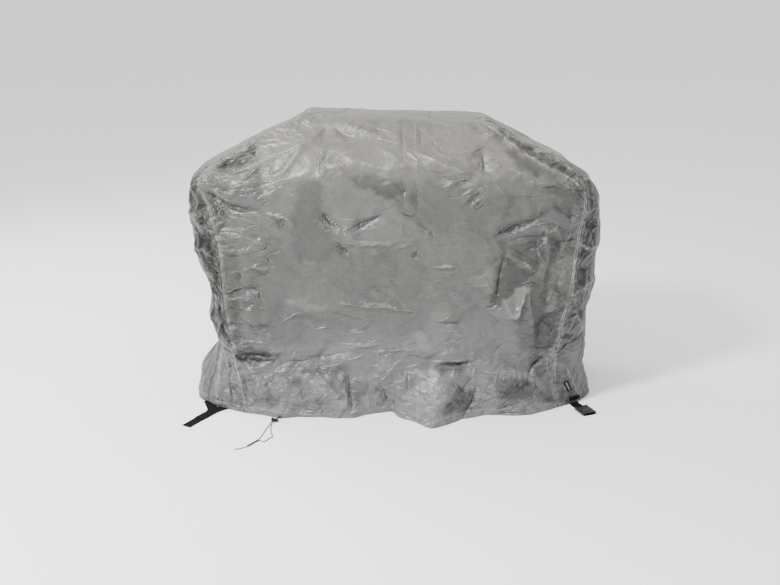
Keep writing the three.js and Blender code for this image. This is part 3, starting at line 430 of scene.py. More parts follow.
LEFT_FOLDS = in_metres([
    (0, 812, 60, 862, 150, 880, 28, -14), (0, 760, 90, 730, 230, 700, 28, 12),
    (0, 668, 70, 636, 170, 640, 28, -12), (10, 560, 90, 596, 210, 560, 30, 12),
    (0, 455, 100, 470, 240, 430, 30, -11), (40, 360, 150, 330, 320, 350, 36, 11),
    (0, 226, 110, 214, 260, 224, 28, -16), (60, 190, 70, 100, 66, 10, 24, -8),
    (115, 180, 125, 100, 130, 10, 26, 9), (170, 190, 180, 100, 190, 10, 28, -12),
    (300, 640, 350, 480, 320, 300, 44, -12), (420, 250, 440, 120, 430, 10, 44, 15),
    (300, 200, 310, 100, 300, 10, 40, -14), (180, 950, 330, 930, 420, 900, 34, 11),
])
RIGHT_FOLDS = in_metres([
    (0, 806, 80, 800, 190, 790, 28, -16), (0, 850, 110, 842, 260, 850, 28, 11),
    (0, 722, 60, 690, 150, 664, 28, -14), (0, 640, 80, 606, 190, 590, 28, 12),
    (0, 552, 90, 520, 200, 530, 28, -11), (10, 430, 110, 470, 240, 440, 30, 11),
    (0, 330, 100, 352, 250, 330, 30, -11), (0, 226, 70, 238, 200, 262, 28, -12),
    (60, 160, 90, 90, 100, 10, 34, 11), (300, 620, 340, 460, 310, 300, 44, 12),
    (240, 230, 250, 120, 250, 10, 40, -14), (420, 260, 440, 130, 430, 10, 44, 14),
    (160, 960, 300, 925, 400, 900, 34, -9),
])

# The front's finer creases, between and across its folds
FRONT_CREASES = in_metres([
    (-644, 821, -589, 773, -448, 748, 10, -6), (-637, 831, -594, 804, -555, 773, 12, 6),
    (-445, 748, -394, 737, -347, 713, 9, 6), (-442, 734, -401, 723, -361, 695, 9, -4),
    (-630, 776, -604, 751, -572, 720, 9, -7), (-643, 838, -576, 828, -451, 838, 16, -4),
    (-531, 855, -491, 874, -448, 886, 8, -4), (-525, 842, -487, 858, -446, 868, 8, 4),
    (-508, 861, -446, 913, -259, 990, 9, 6), (-440, 868, -374, 889, -322, 951, 10, 6),
    (-589, 922, -541, 913, -494, 925, 10, -5), (-575, 938, -540, 935, -500, 940, 8, -3),
    (-505, 962, -490, 945, -475, 930, 7, -4), (-470, 960, -488, 945, -508, 940, 7, -3.5),
    (-488, 975, -488, 950, -487, 905, 7, -4), (-606, 613, -537, 609, -461, 617, 12, 3),
    (-468, 609, -447, 620, -426, 631, 7, -5), (-237, 1019, -256, 993, -286, 975, 7, -3),
    (-168, 1028, -105, 1007, -50, 990, 9, 5), (-120, 1040, -60, 1015, 10, 1000, 9, 3),
    (-250, 960, -252, 915, -252, 868, 7, 6), (-210, 951, -236, 913, -251, 868, 7, 6),
    (-232, 962, -240, 930, -246, 900, 7, -5), (-224, 954, -189, 948, -145, 942, 8, 4),
    (-148, 922, -80, 907, 15, 892, 10, 4), (-70, 966, -19, 942, 22, 913, 9, 3),
    (32, 957, 150, 913, 268, 874, 8, 5), (138, 951, 171, 933, 212, 930, 8, 4),
    (209, 942, 253, 945, 278, 957, 8, 4), (301, 940, 300, 917, 299, 892, 7, -6),
    (285, 925, 300, 915, 330, 905, 7, 4), (310, 935, 330, 940, 352, 942, 7, 3),
    (82, 898, 183, 883, 284, 877, 10, -3), (156, 838, 200, 855, 244, 868, 7, 5),
    (175, 834, 218, 846, 262, 860, 7, -3.5), (253, 762, 279, 793, 312, 825, 7, 4),
    (225, 780, 242, 800, 258, 821, 7, 4), (240, 768, 262, 795, 288, 822, 6, -3),
    (23, 1050, 22, 960, 23, 860, 6, -2.2), (23, 880, 24, 820, 23, 745, 6, -2.2),
    (70, 1050, 71, 960, 70, 860, 6, 2.2), (70, 880, 69, 820, 71, 745, 6, -2.2),
    (348, 667, 412, 695, 509, 741, 9, -6), (377, 638, 462, 659, 572, 652, 9, -4),
    (410, 588, 467, 552, 520, 530, 7, 4), (385, 609, 364, 526, 357, 427, 10, -6),
    (385, 434, 398, 405, 423, 367, 8, 4), (423, 367, 440, 410, 453, 471, 10, 6),
    (462, 501, 478, 397, 492, 263, 10, 4), (477, 141, 513, 191, 566, 213, 9, -5),
    (-251, 748, -217, 716, -170, 691, 8, -5), (-170, 691, -115, 709, -39, 744, 8, -5),
    (-192, 668, -180, 688, -163, 706, 6, 4), (-174, 668, -160, 690, -143, 704, 6, 4),
    (-211, 656, -181, 624, -147, 591, 10, -4), (-211, 667, -136, 638, 57, 656, 10, 3),
    (-130, 630, -95, 637, -60, 632, 8, 3), (-55, 628, -30, 636, 0, 630, 8, 3),
    (5, 626, 35, 634, 67, 627, 8, 3), (115, 691, 124, 672, 132, 652, 6, -4.5),
    (60, 602, 68, 592, 74, 581, 6, -4.5), (134, 555, 175, 555, 220, 559, 6, 4),
    (150, 541, 180, 538, 205, 541, 6, 2.5), (-498, 559, -463, 552, -415, 552, 9, 4),
    (-608, 445, -544, 464, -463, 482, 9, -4), (-600, 430, -540, 442, -470, 458, 9, 3.5),
    (-501, 497, -485, 484, -467, 471, 12, -2.5), (-195, 427, -72, 412, 80, 393, 9, 4),
    (-179, 333, -136, 318, -86, 326, 8, -3.5), (-205, 271, -126, 267, -40, 279, 9, 4),
    (-83, 236, -1, 248, 88, 248, 8, 5), (137, 352, 193, 344, 236, 356, 8, -3.5),
    (-596, 217, -503, 217, -410, 221, 8, -7), (-566, 263, -490, 275, -431, 236, 12, 6),
    (-403, 198, -288, 210, -169, 236, 10, -4.5), (-342, 206, -253, 135, -181, 46, 14, 5),
    (139, 191, 204, 191, 283, 202, 8, -6), (-170, 159, -159, 93, -156, 23, 7, -6),
    (-184, 165, -174, 95, -170, 25, 7, 4.5), (-55, 121, -33, 71, -15, 30, 10, -5),
    (244, 97, 262, 131, 290, 148, 8, -4.5), (290, 117, 284, 64, 242, 2, 10, -6),
    (366, 100, 431, 93, 477, 121, 14, -5), (-562, 177, -541, 107, -527, 53, 7, -4.5),
    (-398, 19, -308, 11, -182, 19, 6, 3), (-523, 79, -480, 71, -415, 64, 6, -3),
    (-522, 163, -480, 93, -459, 57, 10, 3.5),
])

# Short marks of the front, pushed out or in, with a painted highlight where they stand out and painted
# shade where they go in
FRONT_MARKS = in_metres([
    (-255, 745, -230, 715, -200, 700, 8, -7), (-150, 680, -110, 700, -50, 735, 8, -7),
    (-205, 630, -180, 615, -155, 595, 8, -6), (-205, 680, -190, 690, -175, 700, 6, 5),
    (-185, 675, -170, 690, -150, 700, 6, 5), (-195, 675, -180, 690, -165, 700, 6, -5),
    (-175, 675, -155, 690, -140, 695, 6, -5), (-200, 725, -150, 725, -100, 730, 5, 3),
    (-100, 730, -75, 740, -45, 740, 6, 4), (-175, 660, -105, 650, -10, 650, 6, 5),
    (-10, 650, 35, 655, 70, 660, 6, 4), (-110, 635, -80, 640, -50, 645, 8, 6),
    (-45, 645, -30, 630, -10, 615, 8, 6), (10, 620, 30, 630, 45, 640, 6, 5),
    (-205, 650, -185, 635, -165, 620, 6, 5), (-160, 465, -105, 470, -60, 480, 5, -3),
    (130, 555, 170, 560, 210, 560, 8, 7), (160, 535, 180, 535, 210, 530, 6, 4),
    (140, 550, 175, 545, 205, 550, 5, -3), (55, 585, 70, 595, 75, 615, 8, -6),
    (20, 735, 20, 705, 20, 680, 6, 4), (15, 750, 40, 740, 65, 735, 6, -5),
    (75, 715, 100, 695, 110, 685, 6, -5), (130, 445, 155, 435, 190, 425, 5, 3),
    (175, 470, 210, 460, 240, 435, 5, 3), (-195, 435, -160, 425, -135, 420, 8, 6),
    (-115, 435, -95, 420, -80, 410, 6, 5), (-80, 425, -45, 420, -10, 410, 8, 6),
    (-20, 420, 0, 410, 20, 400, 8, 6), (35, 405, 50, 400, 70, 400, 8, 6),
    (-200, 365, -175, 350, -145, 350, 6, 4), (-125, 365, -95, 360, -70, 355, 6, 5),
    (-170, 320, -145, 320, -110, 325, 6, 5), (-160, 315, -135, 310, -110, 315, 8, 6),
    (-185, 305, -160, 290, -135, 285, 6, 4), (-125, 300, -90, 290, -55, 290, 6, 4),
    (-145, 270, -90, 270, -40, 275, 6, 5), (-180, 250, -120, 260, -55, 255, 6, 5),
    (160, 355, 180, 365, 195, 385, 6, 5), (170, 350, 205, 345, 230, 340, 6, -5),
    (180, 335, 210, 335, 235, 335, 6, 5), (160, 320, 190, 315, 225, 315, 6, 5),
    (175, 275, 205, 290, 225, 305, 6, -5), (200, 260, 220, 275, 240, 290, 6, -5),
    (160, 270, 190, 270, 225, 275, 6, 5), (200, 290, 225, 300, 245, 290, 6, 5),
    (175, 800, 195, 800, 220, 805, 6, 5), (220, 805, 245, 825, 270, 835, 8, 6),
    (260, 815, 280, 830, 300, 840, 6, 5), (255, 775, 270, 790, 285, 805, 6, 5),
    (260, 765, 275, 780, 290, 795, 6, -5), (260, 760, 285, 775, 300, 785, 6, 5),
    (265, 755, 285, 765, 300, 780, 6, -5), (350, 815, 420, 805, 500, 810, 5, -3),
    (335, 730, 380, 720, 420, 725, 5, 4), (420, 725, 460, 725, 495, 740, 6, 4),
    (375, 670, 430, 695, 500, 730, 8, -7), (345, 675, 355, 665, 360, 695, 8, -6),
    (365, 655, 400, 665, 440, 685, 6, 5), (440, 685, 480, 705, 525, 710, 6, 5),
    (520, 680, 540, 690, 560, 695, 6, -5), (495, 650, 510, 660, 515, 685, 6, -5),
    (390, 645, 430, 640, 470, 650, 6, 4), (445, 615, 485, 625, 515, 645, 6, -5),
    (465, 610, 500, 620, 525, 620, 6, 5), (520, 620, 540, 605, 560, 595, 6, 5),
    (550, 635, 590, 645, 635, 655, 8, -6), (585, 735, 610, 735, 640, 745, 8, -6),
    (595, 690, 615, 700, 635, 715, 6, 5), (600, 660, 620, 670, 635, 680, 6, 5),
    (415, 585, 460, 560, 515, 520, 8, 6), (435, 545, 465, 540, 500, 530, 6, -5),
    (305, 635, 330, 630, 355, 635, 5, 4), (330, 555, 345, 575, 360, 590, 6, -4),
    (320, 410, 340, 405, 360, 420, 8, -7), (445, 495, 465, 505, 485, 505, 6, 5),
    (625, 585, 625, 530, 625, 485, 8, 6), (525, 495, 560, 500, 605, 480, 6, 5),
    (535, 570, 565, 575, 590, 590, 6, -5), (500, 600, 510, 575, 520, 550, 6, 5),
    (530, 430, 540, 445, 550, 470, 6, 5), (520, 405, 540, 390, 565, 405, 6, 5),
    (480, 390, 485, 365, 485, 340, 6, 5), (480, 340, 515, 355, 540, 375, 8, -6),
    (565, 390, 590, 395, 605, 395, 6, -5), (485, 315, 495, 295, 510, 305, 6, 5),
    (490, 315, 495, 280, 495, 255, 6, 5), (475, 260, 535, 245, 580, 260, 6, -5),
    (515, 290, 550, 295, 585, 295, 5, 4), (610, 415, 600, 365, 595, 315, 8, 6),
    (590, 310, 585, 275, 565, 240, 8, 7), (620, 480, 615, 440, 605, 395, 6, -5),
    (285, 315, 310, 300, 325, 305, 5, 4), (260, 485, 290, 490, 315, 480, 5, 4),
    (280, 510, 310, 525, 335, 545, 6, 4), (125, 200, 195, 205, 280, 215, 8, 6),
    (135, 190, 205, 195, 280, 195, 8, -6), (280, 205, 295, 205, 315, 205, 6, 5),
    (315, 190, 340, 200, 365, 190, 5, 4), (345, 165, 410, 165, 480, 155, 6, 5),
    (485, 150, 500, 175, 530, 205, 8, -7), (490, 160, 520, 190, 555, 210, 6, 5),
    (565, 205, 565, 170, 575, 120, 8, 6), (575, 120, 575, 140, 570, 175, 6, -5),
    (575, 120, 575, 130, 570, 165, 6, 4), (510, 130, 545, 100, 575, 95, 6, 4),
    (510, 95, 530, 100, 555, 105, 6, 4), (575, 100, 585, 65, 595, 30, 6, 4),
    (500, 125, 510, 110, 520, 80, 6, -5), (365, 15, 390, 45, 420, 65, 8, -6),
    (380, 20, 415, 40, 465, 55, 8, -6), (365, 10, 425, 10, 490, 10, 6, -5),
    (430, 25, 470, 40, 510, 55, 6, 5), (290, 45, 320, 60, 360, 90, 6, 4),
    (280, 30, 310, 50, 340, 60, 6, -5), (300, 90, 320, 115, 330, 140, 6, 4),
    (215, 120, 210, 130, 225, 140, 8, -6), (245, 55, 270, 75, 275, 105, 8, -6),
    (220, 65, 245, 85, 255, 100, 6, -5), (225, 65, 245, 90, 265, 105, 6, 4),
    (260, 45, 275, 65, 285, 90, 5, 4), (135, 125, 155, 115, 180, 120, 6, 5),
    (105, 55, 130, 65, 155, 60, 6, 5), (105, 95, 125, 90, 150, 100, 6, 5),
    (165, 145, 195, 155, 225, 155, 6, 4), (0, 75, 15, 55, 30, 30, 5, 4),
    (-15, 50, -5, 30, 10, 20, 8, -6), (-10, 185, 10, 200, 30, 205, 6, 5),
    (40, 180, 70, 185, 100, 185, 6, 5), (45, 230, 75, 230, 105, 230, 6, 5),
    (180, 250, 215, 255, 240, 255, 5, -4), (-85, 245, -35, 250, 10, 250, 5, -4),
    (-170, 205, -135, 220, -95, 235, 6, 5), (-105, 185, -70, 185, -35, 195, 6, 5),
    (-170, 230, -155, 245, -140, 250, 6, 5), (-165, 140, -165, 95, -165, 50, 8, -6),
    (-200, 155, -190, 140, -175, 105, 8, 6), (-175, 105, -175, 65, -175, 30, 6, 5),
    (-190, 140, -180, 120, -175, 90, 6, -5), (-165, 10, -130, 25, -80, 25, 6, 5),
    (-80, 25, -40, 25, -15, 30, 6, 4), (-40, 70, -65, 95, -75, 110, 5, -4),
    (-75, 105, -65, 75, -30, 45, 6, 4), (-85, 75, -70, 50, -55, 20, 5, 4),
    (-40, 80, -60, 100, -50, 120, 6, -4), (-575, 200, -530, 200, -415, 205, 8, -7),
    (-570, 255, -540, 260, -510, 275, 6, -5), (-560, 250, -510, 255, -465, 245, 6, 5),
    (-495, 285, -470, 280, -440, 280, 6, 5), (-465, 245, -445, 230, -425, 215, 6, 4),
    (-385, 215, -330, 210, -270, 215, 6, 5), (-345, 175, -255, 180, -170, 200, 6, 5),
    (-345, 205, -300, 195, -235, 215, 5, 4), (-560, 190, -535, 185, -510, 195, 6, 4),
    (-505, 185, -495, 165, -495, 140, 6, 4), (-545, 145, -515, 135, -495, 140, 5, 4),
    (-545, 135, -520, 125, -495, 125, 6, -5), (-475, 110, -455, 125, -430, 150, 8, -6),
    (-450, 105, -430, 90, -420, 75, 5, 4), (-565, 165, -555, 140, -545, 95, 6, -5),
    (-570, 180, -560, 135, -550, 105, 6, 4), (-540, 120, -530, 75, -525, 30, 6, 4),
    (-545, 95, -540, 65, -530, 30, 6, -4), (-575, 190, -565, 165, -560, 145, 6, 5),
    (-555, 125, -550, 95, -545, 70, 6, -5), (-555, 125, -550, 95, -545, 65, 6, 5),
    (-350, 160, -305, 130, -255, 100, 6, 5), (-405, 60, -390, 45, -370, 25, 6, 4),
    (-380, 60, -345, 45, -305, 50, 6, -4), (-365, 75, -345, 50, -320, 35, 5, 4),
    (-330, 35, -290, 30, -235, 40, 6, -5), (-300, 45, -270, 55, -240, 50, 6, -4),
    (-320, 25, -280, 25, -225, 30, 5, 4), (-580, 765, -535, 750, -460, 750, 8, -7),
    (-450, 745, -400, 735, -350, 710, 8, 6), (-445, 735, -410, 720, -370, 700, 6, -4),
    (-430, 715, -395, 705, -370, 695, 6, -5), (-630, 770, -605, 740, -580, 720, 8, -6),
    (-470, 605, -450, 620, -430, 625, 6, -5), (-475, 605, -450, 610, -425, 625, 6, 4),
    (-455, 595, -440, 575, -450, 570, 6, -5), (-450, 590, -420, 605, -385, 610, 5, -4),
    (-520, 680, -500, 700, -470, 700, 6, -4), (-585, 610, -535, 615, -490, 615, 5, 4),
    (-505, 555, -475, 550, -435, 540, 8, 6), (-555, 530, -545, 520, -550, 500, 8, -7),
    (-520, 470, -495, 465, -475, 465, 8, -7), (-480, 465, -480, 445, -475, 430, 8, -6),
    (-605, 440, -570, 460, -525, 475, 6, -5), (-605, 450, -570, 465, -525, 480, 6, 5),
    (-485, 350, -470, 330, -455, 320, 8, -6), (-460, 325, -445, 335, -425, 330, 6, -5),
    (-590, 440, -545, 440, -510, 435, 5, 4), (-585, 420, -530, 420, -470, 415, 5, -4),
    (-565, 415, -510, 395, -470, 400, 5, 4), (-535, 350, -515, 340, -495, 315, 5, -4),
    (-560, 350, -530, 360, -505, 350, 5, 4), (-490, 305, -455, 305, -420, 305, 5, -3),
    (-490, 295, -455, 295, -415, 295, 5, 3), (-455, 770, -440, 785, -420, 790, 6, -5),
    (-445, 720, -450, 695, -435, 660, 5, 4), (-485, 835, -455, 845, -425, 855, 5, -4),
    (-280, 325, -245, 330, -210, 325, 6, 5), (-535, 850, -490, 875, -455, 900, 6, 5),
    (-455, 900, -385, 930, -315, 960, 6, 5), (-440, 865, -390, 880, -355, 900, 6, 5),
    (-355, 900, -335, 925, -320, 955, 6, 5), (-430, 840, -380, 860, -315, 875, 6, 5),
    (-285, 975, -265, 995, -240, 1020, 5, -4), (-240, 1020, -215, 1040, -190, 1040, 5, 4),
    (-535, 850, -505, 860, -480, 875, 5, -4), (-480, 875, -460, 885, -445, 870, 6, -4),
    (-505, 850, -470, 860, -455, 865, 6, -4), (-260, 890, -255, 925, -250, 950, 6, -5),
    (-255, 880, -245, 910, -230, 940, 8, 6), (-240, 895, -235, 920, -220, 940, 6, -5),
    (-210, 950, -170, 935, -135, 930, 6, 5), (-135, 930, -95, 920, -45, 905, 6, 5),
    (-175, 1035, -130, 1010, -80, 990, 6, 4), (-80, 990, -40, 980, 10, 970, 5, 4),
    (-150, 1040, -115, 1020, -60, 995, 5, -3), (-70, 965, -35, 945, 0, 925, 5, 4),
    (-215, 1020, -180, 1000, -135, 990, 5, -3), (-220, 965, -175, 955, -130, 955, 5, 4),
    (20, 1010, 25, 980, 20, 950, 5, -3), (85, 1015, 85, 985, 85, 950, 5, -3),
    (30, 950, 55, 935, 80, 920, 6, 4), (100, 930, 135, 920, 170, 905, 6, 4),
    (170, 905, 210, 895, 250, 875, 6, 4), (140, 955, 170, 945, 200, 930, 5, -3),
    (150, 870, 215, 860, 285, 850, 6, -4), (315, 920, 335, 910, 360, 900, 6, 4),
    (280, 880, 305, 870, 325, 875, 6, 5), (325, 895, 345, 900, 370, 900, 6, 4),
    (380, 900, 430, 880, 485, 860, 6, 5), (255, 925, 275, 945, 310, 965, 5, -4),
    (175, 1020, 155, 1030, 120, 1030, 5, -3), (145, 1030, 190, 1025, 225, 1025, 5, 3),
    (95, 980, 130, 990, 175, 995, 5, 3), (190, 945, 230, 940, 265, 950, 5, -3),
    (30, 850, 30, 820, 25, 780, 5, -4), (75, 845, 75, 805, 75, 755, 5, -4),
    (-650, 820, -625, 795, -580, 770, 8, -6), (-625, 835, -595, 830, -555, 820, 6, -5),
    (-555, 820, -500, 815, -455, 830, 5, -4), (-625, 855, -580, 845, -525, 840, 5, 4),
    (-675, 845, -665, 825, -645, 800, 6, -4), (-605, 860, -555, 870, -510, 880, 6, 4),
    (-555, 830, -505, 845, -460, 855, 6, 4), (485, 840, 520, 835, 555, 840, 6, -5),
    (505, 830, 540, 835, 570, 825, 6, -5), (470, 845, 515, 850, 555, 840, 6, 4),
    (565, 820, 600, 825, 640, 815, 6, -5), (320, 1025, 375, 985, 435, 945, 8, 7),
    (430, 950, 490, 910, 560, 880, 8, 7), (555, 880, 620, 840, 650, 810, 8, 7),
    (-625, 880, -575, 910, -510, 935, 8, -7), (-595, 890, -535, 915, -480, 925, 6, -6),
    (-565, 875, -510, 890, -465, 900, 6, -6), (385, 990, 405, 980, 440, 965, 6, -6),
    (455, 950, 490, 940, 525, 925, 6, -6), (480, 945, 510, 935, 550, 920, 6, -6),
    (550, 915, 585, 890, 615, 860, 5, -5), (-400, 355, -370, 375, -335, 390, 6, 5),
])

# Patches of the front painted lighter or darker, as light and shade where the cloth would face a little
# more to the light or away from it, a row each: how much lighter or darker, how soft the border is, and its
# corners
FRONT_PAINTED_LIGHT = patches_in_metres([
    (0.11, 5, (-240, 855, -175, 865, -145, 835, -75, 825, -35, 790, 20, 750, 85, 700, 110, 660, 65,
        650, -175, 655, -225, 690, -250, 750)),
    (-0.25, 6, (-175, 895, -145, 870, -80, 880, 15, 855, 20, 810, -30, 795, -75, 825, -140, 840)),
    (-0.09, 7, (-65, 825, 25, 855, 100, 850, 250, 835, 320, 810, 315, 700, 240, 670, 120, 675, 20, 750,
        -35, 790)),
    (-0.1, 7, (-205, 615, -55, 610, 90, 610, 105, 435, 10, 425, -175, 445, -215, 510)),
    (0.17, 8, (130, 390, 185, 395, 205, 340, 240, 290, 215, 245, 100, 240, 50, 315, 115, 320)),
    (0.16, 7, (40, 295, 110, 315, 130, 240, 15, 230)),
    (-0.15, 5, (-320, 860, -245, 860, -250, 770, -260, 735, -220, 680, -215, 575, -330, 570, -360, 630,
        -355, 745, -335, 795)),
    (0.09, 6, (-445, 830, -330, 840, -330, 795, -355, 715, -365, 655, -430, 675, -455, 740)),
    (-0.06, 6, (-580, 610, -380, 605, -385, 435, -590, 435)),
    (-0.14, 8, (-600, 430, -395, 435, -395, 260, -585, 255)),
    (-0.1, 6, (-400, 370, -325, 385, -325, 260, -405, 260)),
    (0.26, 5, (-385, 440, -335, 435, -315, 445, -270, 460, -315, 440, -315, 425, -270, 415, -245, 425,
        -225, 440, -245, 405, -285, 395, -335, 405, -380, 420)),
    (-0.16, 8, (-395, 360, -365, 385, -325, 390, -275, 370, -245, 350, -285, 355, -325, 370)),
    (-0.32, 6, (380, 590, 415, 575, 440, 545, 490, 540, 450, 500, 400, 445, 360, 410, 325, 415, 355,
        485, 375, 540)),
    (0.32, 4, (450, 495, 465, 480, 445, 435, 435, 395, 405, 365, 380, 400, 370, 425, 410, 455)),
    (0.22, 6, (245, 505, 295, 530, 345, 575, 370, 565, 365, 505, 340, 470, 310, 465)),
    (0.14, 5, (270, 440, 325, 425, 370, 390, 410, 365, 365, 370, 320, 405)),
    (-0.16, 10, (435, 405, 470, 480, 525, 550, 550, 570, 535, 435, 515, 320, 485, 240, 445, 235, 425,
        325)),
    (0.22, 6, (540, 570, 575, 595, 620, 605, 625, 480, 575, 490, 535, 485)),
    (0.24, 6, (525, 485, 560, 480, 570, 395, 535, 390)),
    (-0.15, 8, (480, 350, 540, 390, 565, 390, 590, 305, 575, 240, 485, 230)),
    (-0.1, 10, (320, 810, 470, 800, 510, 735, 355, 725, 320, 735)),
    (-0.16, 7, (530, 795, 600, 785, 610, 740, 540, 755)),
    (-0.2, 10, (380, 635, 520, 655, 585, 650, 545, 585, 500, 555, 415, 575)),
    (-0.1, 14, (360, 665, 630, 695, 580, 255, 455, 235, 425, 360, 360, 410, 320, 440, 365, 570)),
    (-0.3, 10, (375, 95, 425, 115, 475, 130, 500, 120, 505, 75, 450, 60, 385, 65)),
    (-0.16, 7, (340, 145, 475, 140, 475, 105, 365, 110)),
    (0.22, 5, (345, 170, 405, 170, 485, 155, 475, 140, 350, 145)),
    (-0.36, 6, (215, 120, 290, 100, 285, 20, 155, 40, 195, 75)),
    (0.14, 10, (100, 145, 160, 175, 220, 155, 215, 105, 185, 75, 150, 45, 80, 45, 50, 90)),
    (-0.2, 6, (500, 190, 540, 205, 550, 140, 500, 135)),
    (-0.2, 6, (550, 205, 570, 210, 570, 165, 575, 135, 560, 130)),
    (-0.12, 6, (295, 240, 330, 280, 360, 290, 380, 245)),
    (-0.22, 6, (140, 185, 280, 190, 250, 170, 195, 165, 150, 165)),
    (-0.26, 8, (515, 85, 565, 80, 595, 25, 550, 30)),
    (-0.42, 5, (-580, 215, -530, 210, -420, 215, -415, 205, -575, 195)),
    (-0.22, 6, (-575, 240, -525, 250, -465, 230, -440, 210, -575, 205)),
    (-0.24, 6, (-350, 175, -270, 175, -215, 180, -170, 195, -160, 170, -200, 160, -330, 155)),
    (0.26, 8, (-280, 215, -235, 245, -200, 270, -170, 265, -165, 230, -215, 210)),
    (0.22, 6, (-355, 175, -325, 160, -250, 115, -175, 55, -200, 35, -265, 80, -320, 125)),
    (-0.2, 7, (-400, 145, -345, 145, -335, 125, -375, 110)),
    (-0.24, 7, (-160, 140, -105, 130, -90, 95, -120, 75, -155, 45)),
    (-0.2, 6, (-70, 170, -35, 165, -35, 140, -65, 140)),
    (-0.28, 6, (-525, 60, -455, 90, -420, 80, -415, 55, -500, 45)),
    (-0.14, 8, (-325, 130, -235, 105, -190, 40, -340, 60)),
    (-0.14, 6, (-455, 890, -330, 950, -350, 915, -410, 885, -440, 865)),
    (0.14, 7, (-315, 945, -265, 960, -255, 895, -310, 875, -330, 860, -425, 835, -445, 860, -390, 870,
        -345, 900)),
    (-0.08, 6, (-215, 1020, -145, 990, -175, 980, -215, 990)),
    (-0.07, 7, (-135, 1035, -45, 1035, -35, 1010, -105, 1020)),
    (-0.16, 6, (370, 950, 400, 945, 490, 890, 490, 865, 445, 870, 395, 910)),
    (-0.14, 10, (-620, 835, -455, 835, -475, 805, -600, 785)),
    (-0.1, 12, (-10, 165, 125, 195, 130, 135, 30, 75, -15, 95)),
    (-0.08, 12, (-150, 440, 15, 425, 85, 390, 100, 325, 30, 295, -180, 315)),
    (-0.26, 6, (-650, 865, -630, 890, -590, 915, -530, 940, -475, 955, -445, 940, -465, 915, -520, 900,
        -580, 870)),
    (-0.18, 8, (-650, 855, -580, 870, -520, 890, -455, 900, -445, 865, -525, 845, -620, 835)),
    (-0.42, 5, (345, 1010, 390, 990, 450, 960, 515, 930, 580, 905, 620, 865, 645, 830, 635, 845, 560,
        880, 475, 920, 395, 970)),
    (-0.2, 5, (370, 950, 400, 955, 480, 910, 555, 865, 505, 860, 425, 895)),
    (-0.22, 7, (505, 850, 605, 840, 650, 820, 645, 785, 555, 800, 510, 825)),
    (-0.12, 10, (505, 795, 600, 790, 620, 610, 580, 255, 500, 230, 505, 440, 535, 615)),
    (-0.16, 8, (-600, 645, -550, 650, -550, 260, -585, 255, -605, 430)),
    (-0.14, 8, (375, 235, 500, 240, 580, 250, 595, 20, 525, 40, 380, 20, 345, 120)),
    (-0.07, 30, (-635, 715, -325, 745, -195, 655, -205, 320, -340, 265, -590, 270)),
    (-0.09, 25, (-580, 210, -340, 225, -180, 200, -180, 40, -380, 25, -540, 50)),
])
# How strongly the painted light and shade of the patches and the end bands scale the cloth's colour
PAINTED_LIGHT_STRENGTH = 1.4
PATCH_WOBBLE = 0.004
# Light and shade painted on the end panels beside their front seams: how much paler or darker their colour
# is at heights above the floor
LEFT_PAINTED_LIGHT = table("z tone", [
    (0, 0.1), (0.1, 0.2), (0.15, 0.45), (0.22, 0.4), (0.26, -0.38), (0.45, -0.44), (0.62, -0.42),
    (0.7, -0.3), (0.8, -0.38), (0.9, -0.2), (1.05, 0),
])
RIGHT_PAINTED_LIGHT = table("z tone", [
    (0, 0), (0.12, 0.2), (0.18, 0.7), (0.26, 0.7), (0.34, 0.4), (0.6, 0.3), (0.75, 0.4), (0.85, 0.1),
    (1.05, 0),
])
KINK = 0.20  # how far a fold's line strays to its sides, in half widths


def chance_of(fold):
    """Random numbers of a fold's own."""
    return np.random.default_rng(int(abs(fold[0] * 7.919 + fold[1] * 104.729 + fold[3] * 31.3) * 1000))


def curve_points(fold, count=9):
    """A fold's line as a short, kinked run of points through its three given ones."""
    a, b, c = np.array(fold[:6]).reshape(3, 2)
    t = np.linspace(0, 1, count)[:, None]
    line = a * (1 - t) * (1 - 2 * t) + b * 4 * t * (1 - t) + c * t * (2 * t - 1)
    return line + chance_of(fold).normal(0, KINK * fold[6], (count, 2)) * np.sin(math.pi * t)


# Waves of a patch's border, a row each: two lengths, a start, and a share of the whole
WOBBLE_ACROSS = [(0.0083, 0.031, 0, 1), (0.0041, -0.013, 0, 0.7)]
WOBBLE_UP = [(0.0091, -0.027, 1.3, 1), (0.0047, 0.017, 0, 0.7)]


def wobble(first, second, rows):
    """How far a patch's border strays at places of its panel."""
    return PATCH_WOBBLE * sum(share * np.sin(first / a + second / b + start) for a, b, start, share in rows)


def painted_patch_light(patches, across, up):
    """How much lighter or darker the painted light and shade of patches make the cloth's colour at places
    of its panel.
    """
    x = across + wobble(up, across, WOBBLE_ACROSS)
    z = up + wobble(across, up, WOBBLE_UP)
    painted_light = np.zeros(x.shape)
    for tone, soft, corners in patches:
        inside = np.zeros(x.shape, bool)
        away = np.full(x.shape, np.inf)
        for (ax, az), (bx, bz) in zip(corners, corners[1:] + corners[:1]):
            run_x, run_z = bx - ax, bz - az
            t = np.clip(((x - ax) * run_x + (z - az) * run_z) / (run_x**2 + run_z**2), 0, 1)
            away = np.minimum(away, np.hypot(x - ax - t * run_x, z - az - t * run_z))
            if az != bz:
                inside ^= ((az > z) != (bz > z)) & (x < run_x * (z - az) / run_z + ax)
        painted_light += tone * ease(np.where(inside, away, -away), -soft, soft)
    return painted_light


FOLD_REACH = 2.2  # where a fold has died out beside its line, in half widths
FOLD_CREST = 0.7  # where it still has half its height, in half widths
FOLD_TAPER = 0.6  # how bluntly it ends
FOLD_END = 0.08  # share of its length at which its end has come up
SWELLS = 6  # places along it at which its height is drawn at random
SWELL_RANGE = (0.65, 1.25)


